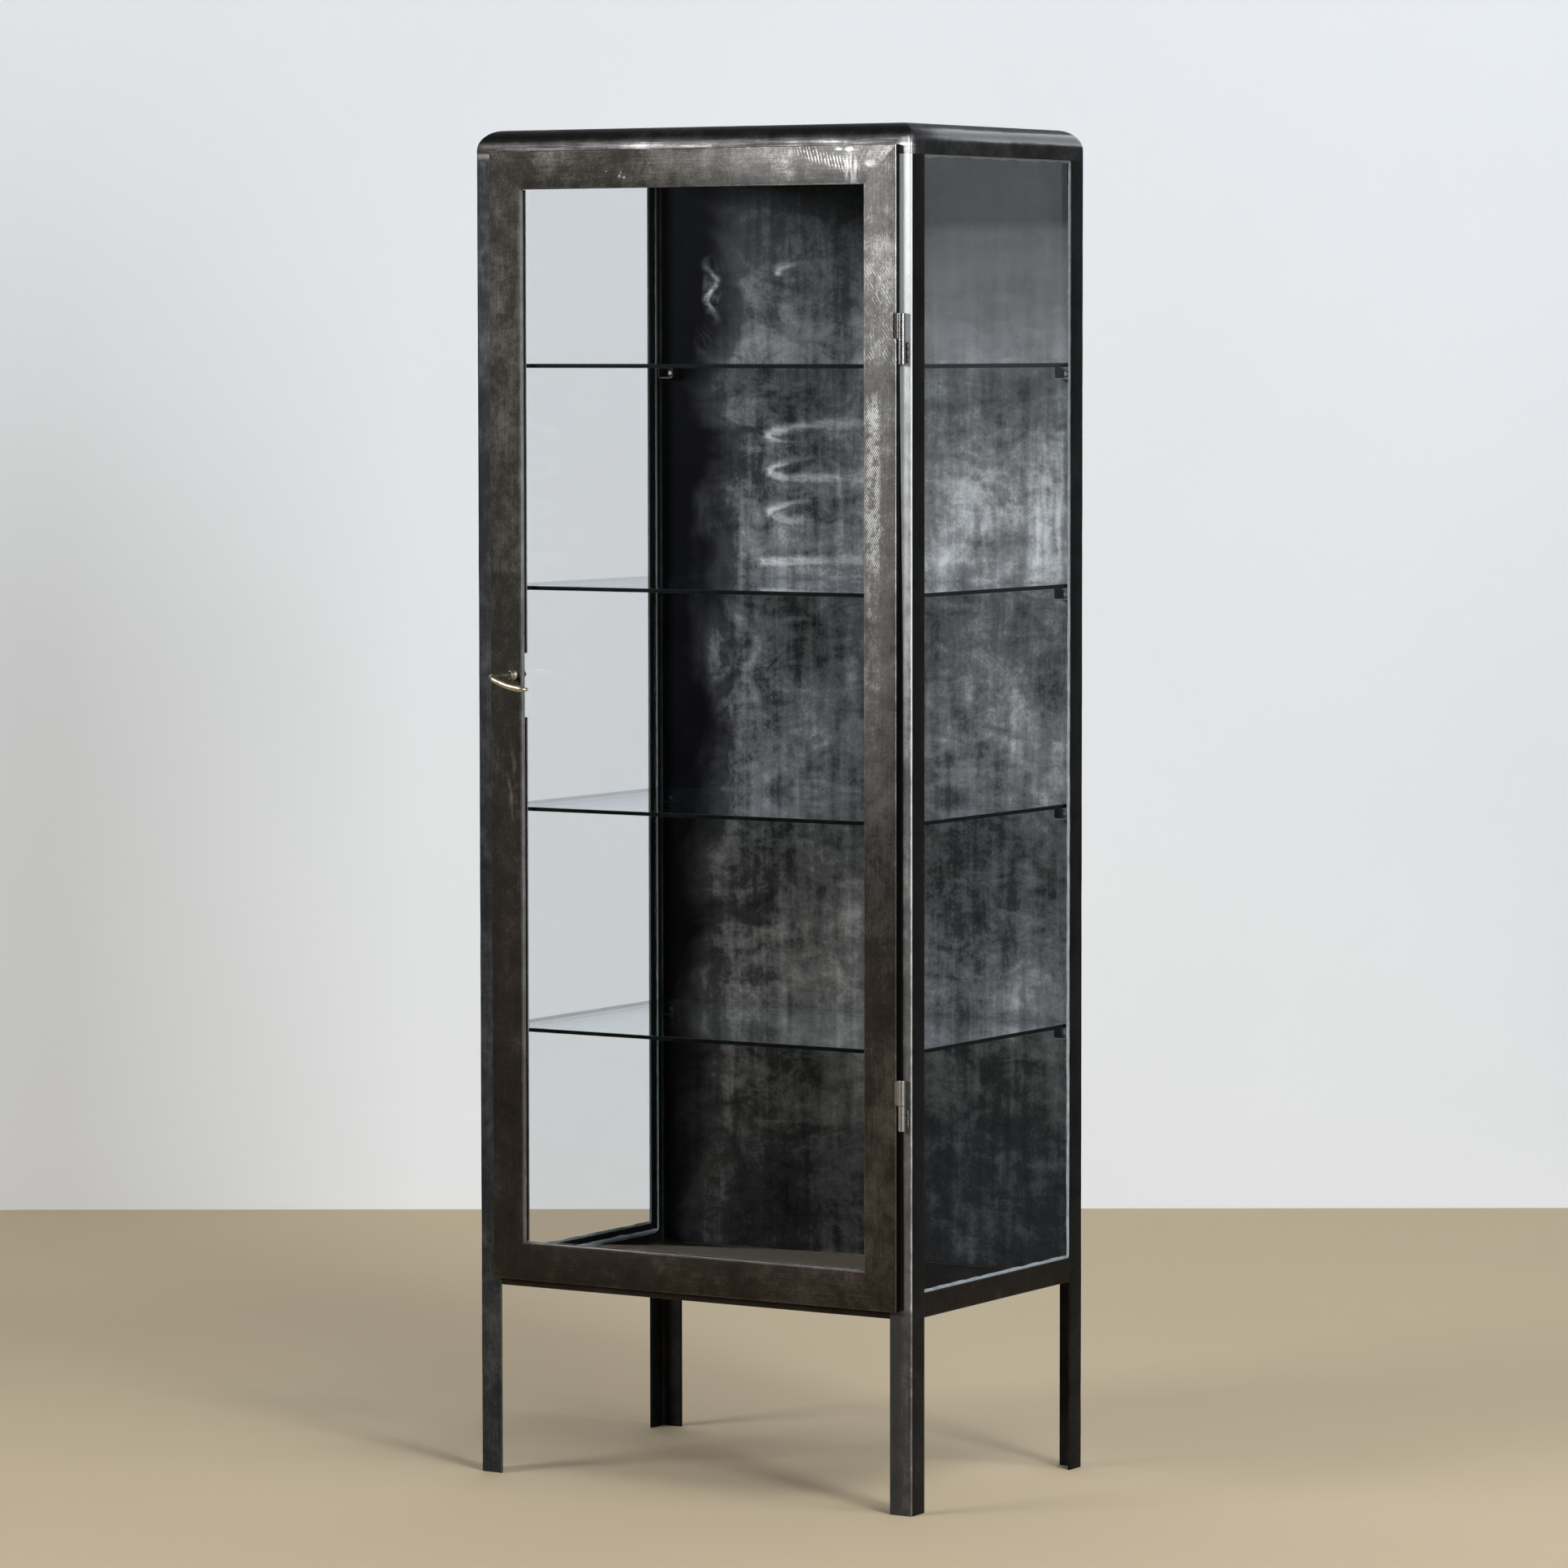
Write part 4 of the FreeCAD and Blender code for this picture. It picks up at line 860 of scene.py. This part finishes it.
# ------------------------------------------------------------------------------------------------ welds at the hinges
def weld_bead(path, radius, seed, seg=14, ripple=1.9):
    """Lumpy bead along a list of points: overlapping scales, uneven width."""
    rings = []
    n = len(path)
    for i, c in enumerate(path):
        a, b = path[max(0, i - 1)], path[min(n - 1, i + 1)]
        t = (b - a).normalized()
        e1 = t.orthogonal().normalized()
        e2 = t.cross(e1)
        end = math.sqrt(min(1.0, 0.2 + min(i, n - 1 - i) / 3.0))
        r = radius * end * (1.0 + 0.07 * math.sin(i * ripple) + 0.34 * wob(i / 2.3, 0.2, 0.4, seed))
        ring = []
        for k in range(seg):
            th = 2.0 * math.pi * k / seg
            q = r * (1.0 + 0.16 * wob(i / 1.7, math.cos(th) * 1.3, math.sin(th) * 1.3, seed + 5.0))
            ring.append((c + e1 * q * math.cos(th) + e2 * q * math.sin(th)))
        rings.append(ring)
    return rings


bm_all = bmesh.new()
for j, z in enumerate(HIN_Z):
    z0, z1 = z - LOW_LEN + 2.0, z - 3.0
    for x, y, r, s in ((HIN_X + 5.3, -HD - 1.25, 2.1, 1.0), (HIN_X - 4.0, -HD - 0.55, 1.1, 2.0)):
        pts = [Vector((x + 0.5 * wob(k / 4.0, 0.1, 0.2, s + j), y, lerp(z0, z1, k / 26.0))) for k in range(27)]
        rings = weld_bead(pts, r, s + 10.0 * j)
        vs = [[bm_all.verts.new(P(*p)) for p in ring] for ring in rings]
        m = len(vs[0])
        for a, b in zip(vs, vs[1:]):
            for k in range(m):
                bm_all.faces.new((a[k], a[(k + 1) % m], b[(k + 1) % m], b[k]))
        bm_all.faces.new(vs[0])
        bm_all.faces.new(list(reversed(vs[-1])))
finish_mesh("weld_beads", bm_all, M["weld"], "cabinet", ("hinge_welds",), 75.0)


# ------------------------------------------------------------------------------------------------ putty round the side panes
def rect_path(y0, y1, z0, z1, r, step):
    """Points round a rounded rectangle with inward normals, evenly spaced."""
    pts = []
    corners = ((y1 - r, z0 + r, -90.0), (y1 - r, z1 - r, 0.0), (y0 + r, z1 - r, 90.0), (y0 + r, z0 + r, 180.0))
    for i, (cy, cz, a) in enumerate(corners):
        for k in range(9):
            th = math.radians(a + 90.0 * k / 8.0)
            d = Vector((math.cos(th), math.sin(th)))
            pts.append((Vector((cy, cz)) + d * r, -d))
        ny, nz, na = corners[(i + 1) % 4]
        th = math.radians(a + 90.0)
        d = Vector((math.cos(th), math.sin(th)))
        p0, p1 = Vector((cy, cz)) + d * r, Vector((ny, nz)) + d * r
        m = max(2, int((p1 - p0).length / step))
        for k in range(1, m):
            pts.append((p0.lerp(p1, k / m), -d))
    return pts


OY, OZ0, OZ1 = HD - LEG, RAIL_Z + LEG, CAP_Z
for side, sx in (("left", -1), ("right", 1)):
    rings = []
    for p, inw in rect_path(-OY, OY, OZ0, OZ1, 3.0, 6.0):
        s = 4.0 * sx
        w = 3.3 + 1.5 * wob(p.x / 26.0, p.y / 26.0, 0.3, s) + 0.6 * wob(p.x / 7.0, p.y / 7.0, 0.9, s)
        h = 1.9 + 0.4 * wob(p.x / 18.0, p.y / 18.0, 1.9, s)
        mid = 0.42 + 0.06 * wob(p.x / 9.0, p.y / 9.0, 2.4, s)
        sec = ((-0.02, 0.02), (-0.02, h), (0.5, h - 0.25), (w * mid, h * 0.42), (w * 0.8, h * 0.14), (w, 0.02))
        rings.append([P(sx * (HW - ANG + b), p.x + inw.x * a, p.y + inw.y * a) for a, b in sec])
    finish_mesh("putty_" + side, skin(rings, loop=True), M["putty"], "cabinet", ("side_putty_" + side,), 60.0)

PY, PZ0, PZ1, PX0, PX1 = OY + 10.0, OZ0 - 9.0, OZ1 + 7.0, HW - ANG - 4.0, HW - ANG
for side, sx in (("left", -1), ("right", 1)):
    rings = []
    for p, inw in rect_path(-PY, PY, PZ0, PZ1, 2.0, 6.0):
        s = 6.0 * sx + 20.0
        w = 4.6 + 1.2 * wob(p.x / 22.0, p.y / 22.0, 0.5, s)
        lap = 2.4 + 1.2 * wob(p.x / 15.0, p.y / 15.0, 1.2, s)
        # runs from the steel beside the pane, over its edge and a little on to the pane's inner face
        sec = ((-w, 0.0), (0.0, 0.0), (0.0, 4.0), (lap, 4.02), (lap * 0.4, 4.5), (-0.8, 4.35), (-w * 0.55, 2.3))
        rings.append([P(sx * (PX1 - b), p.x + inw.x * a, p.y + inw.y * a) for a, b in sec])
    finish_mesh("putty_bed_" + side, skin(rings, loop=True), M["putty"], "cabinet", ("side_bed_" + side,), 60.0)

# ------------------------------------------------------------------------------------------------ finishes on the carried-over pieces
carried = {
    "pane": ("side_glass_left", "side_glass_right", "door_glass"),
    "shelf": ("shelf_1", "shelf_2", "shelf_3", "shelf_4"),
    "floor_panel": ("floor_panel",),
    "back_panel": ("back_panel",),
    "bracket": ("brackets_1", "brackets_2", "brackets_3", "brackets_4"),
    "screw": ("bracket_screws_rear", "bracket_screws_front", "bead_screws"),
    "hinge": ("hinge_lower_knuckles", "hinge_upper_knuckles"),
    "pin": ("hinge_pins",),
    "brass": ("hinge_washers",),
    "bead": ("bead_top", "bead_bottom", "bead_right", "bead_left_upper", "bead_left_lower"),
    "nickel": ("lever_handle", "handle_rosette"),
    "latch": ("handle_spindle", "latch_spacer", "latch_tongue", "latch_nut", "bush_nut"),
}
for key, names in carried.items():
    for nm in names:
        ob = nodes[nm]
        if not ob.material_slots:
            ob.data.materials.append(None)
        for s in ob.material_slots:
            s.link = "OBJECT"
            s.material = M[key]


# ------------------------------------------------------------------------------------------------ stage
AZ, EL, ROLL = math.radians(31.790), math.radians(3.850), math.radians(-0.0704)
back = Vector((math.sin(AZ) * math.cos(EL), -math.cos(AZ) * math.cos(EL), math.sin(EL)))
fwd = -back
rgt = fwd.cross(Vector((0, 0, 1))).normalized()
upv = rgt.cross(fwd)
c, s = math.cos(ROLL), math.sin(ROLL)
cx, cy = c * rgt + s * upv, -s * rgt + c * upv
cam = bpy.data.cameras.new("camera")
cam.lens = 152.466
cam.sensor_width = 36.0
cam.clip_end = 100.0
cam_ob = bpy.data.objects.new("camera", cam)
scene.collection.objects.link(cam_ob)
rot = Matrix((cx, cy, back)).transposed().to_4x4()
cam_ob.matrix_world = Matrix.Translation(Vector((4.269687, -6.850315, 1.389830))) @ rot
scene.camera = cam_ob

flat_back = Vector((math.sin(AZ), -math.cos(AZ), 0.0))


def plain(name, col, seed, rough=0.8):
    g = Nodes(name)
    a = g.noise(1.3, detail=4.0, seed=seed)
    g.surface(g.mix(a, tuple(0.96 * k for k in col), tuple(min(1.0, 1.04 * k) for k in col)), rough, None, 0.0)
    return g


bm = bmesh.new()
away = -flat_back
across = Vector((math.cos(AZ), math.sin(AZ), 0.0))
bm.faces.new([bm.verts.new(across * p.x + away * p.y) for p in round_poly([(-2.3, -1.5), (1.45, -1.5), (1.45, 2.6), (-2.3, 2.6)], [1.1, 0.5, 0.1, 0.1], 12)])
me = bpy.data.meshes.new("floor")
bm.to_mesh(me)
bm.free()
g = plain("floor_pale", (0.535, 0.435, 0.29), 201.0)
me.materials.append(g.m)
ob = bpy.data.objects.new("stage_floor", me)
scene.collection.objects.link(ob)
stage_set = [ob]

# backdrop, seen from its front only
mid = -flat_back * 2.47
side = Vector((math.cos(AZ), math.sin(AZ), 0.0))
bm = bmesh.new()
vs = [bm.verts.new(mid + side * a + Vector((0, 0, b))) for a, b in ((-2.3, 0.0), (2.3, 0.0), (2.3, 4.5), (-2.3, 4.5))]
bm.faces.new(vs)
me = bpy.data.meshes.new("wall")
bm.to_mesh(me)
bm.free()
g = plain("wall_pale", (0.82, 0.855, 0.895), 203.0)
geo = g.t.nodes.new("ShaderNodeNewGeometry")
tr = g.t.nodes.new("ShaderNodeBsdfTransparent")
mx = g.t.nodes.new("ShaderNodeMixShader")
front = g.out.inputs["Surface"].links[0].from_socket
g.t.links.new(geo.outputs["Backfacing"], mx.inputs[0])
g.t.links.new(front, mx.inputs[1])
g.t.links.new(tr.outputs[0], mx.inputs[2])
g.t.links.new(mx.outputs[0], g.out.inputs["Surface"])
me.materials.append(g.m)
ob = bpy.data.objects.new("stage_wall", me)
scene.collection.objects.link(ob)
stage_set.append(ob)


def area(name, pos, aim, size, watts, col):
    l = bpy.data.lights.new(name, "AREA")
    l.shape = "RECTANGLE"
    l.size, l.size_y = size
    l.energy = watts
    l.color = col
    o = bpy.data.objects.new(name, l)
    o.location = pos
    o.rotation_euler = (Vector(aim) - Vector(pos)).to_track_quat("-Z", "Y").to_euler()
    scene.collection.objects.link(o)
    return o


area("key_left", (-3.2, -5.0, 2.75), (0, 0, 1.1), (2.4, 1.5), 215.0, (1.0, 0.98, 0.96))
area("fill_right", (4.9, -2.6, 2.2), (0, 0, 1.0), (1.0, 2.2), 190.0, (0.95, 0.98, 1.0))
wash = area("wall_wash", (3.1, -0.5, 4.3), (-0.5, 2.6, 0.6), (3.6, 1.2), 142.0, (0.97, 0.98, 1.0))
lit_by_wash = bpy.data.collections.new("lit_by_wash")
for ob in stage_set:
    lit_by_wash.objects.link(ob)
wash.light_linking.receiver_collection = lit_by_wash

# surroundings: a light side behind the right, a dim one in front of the door, and a plain pale field where they are seen directly
world = bpy.data.worlds.new("studio")
scene.world = world
world.use_nodes = True
wt = world.node_tree
wt.nodes.clear()


def wnode(kind, **props):
    n = wt.nodes.new(kind)
    for k, v in props.items():
        setattr(n, k, v)
    return n


wtc = wnode("ShaderNodeTexCoord")
wsp = wnode("ShaderNodeSeparateXYZ")
wt.links.new(wtc.outputs["Generated"], wsp.inputs[0])
wdot = wnode("ShaderNodeVectorMath", operation="DOT_PRODUCT")
wt.links.new(wtc.outputs["Generated"], wdot.inputs[0])
wdot.inputs[1].default_value = (0.53, 0.845, 0.0)


def wrange(sock, a, b, lo, hi):
    n = wnode("ShaderNodeMapRange", interpolation_type="SMOOTHSTEP")
    wt.links.new(sock, n.inputs[0])
    for i, v in enumerate((a, b, lo, hi)):
        n.inputs[i + 1].default_value = v
    return n.outputs[0]


def wmath(op, a, b):
    n = wnode("ShaderNodeMath", operation=op)
    for i, v in enumerate((a, b)):
        if isinstance(v, (int, float)):
            n.inputs[i].default_value = v
        else:
            wt.links.new(v, n.inputs[i])
    return n.outputs[0]


round_about = wrange(wdot.outputs["Value"], -0.2, 0.9, 0.035, 0.30)
rise = wrange(wsp.outputs[2], -0.07, 0.03, 0.15, 1.0)
over = wrange(wsp.outputs[2], 0.15, 0.7, 1.0, 0.45)
glow = wmath("MULTIPLY", wmath("MULTIPLY", wrange(wdot.outputs["Value"], 0.80, 0.97, 0.0, 0.52), wrange(wsp.outputs[2], -0.004, 0.045, 0.0, 1.0)),
             wrange(wsp.outputs[2], 0.10, 0.40, 1.0, 0.0))
dim = wmath("ADD", wmath("ADD", wmath("MULTIPLY", wmath("MULTIPLY", round_about, rise), over), glow), wrange(wsp.outputs[2], 0.45, 0.90, 0.0, 0.16))
b1 = wnode("ShaderNodeBackground")
b1.inputs["Color"].default_value = (0.93, 0.955, 1.0, 1.0)
wt.links.new(dim, b1.inputs["Strength"])
b2 = wnode("ShaderNodeBackground")
b2.inputs["Color"].default_value = (0.60, 0.65, 0.71, 1.0)
wlp = wnode("ShaderNodeLightPath")
wmix = wnode("ShaderNodeMixShader")
wt.links.new(wlp.outputs["Is Camera Ray"], wmix.inputs[0])
wt.links.new(b1.outputs[0], wmix.inputs[1])
wt.links.new(b2.outputs[0], wmix.inputs[2])
wout = wnode("ShaderNodeOutputWorld")
wt.links.new(wmix.outputs[0], wout.inputs["Surface"])

scene.view_settings.view_transform = "Standard"
scene.cycles.use_denoising = True
scene.cycles.max_bounces = 14
scene.cycles.transparent_max_bounces = 24
scene.cycles.caustics_reflective = False
scene.cycles.caustics_refractive = False
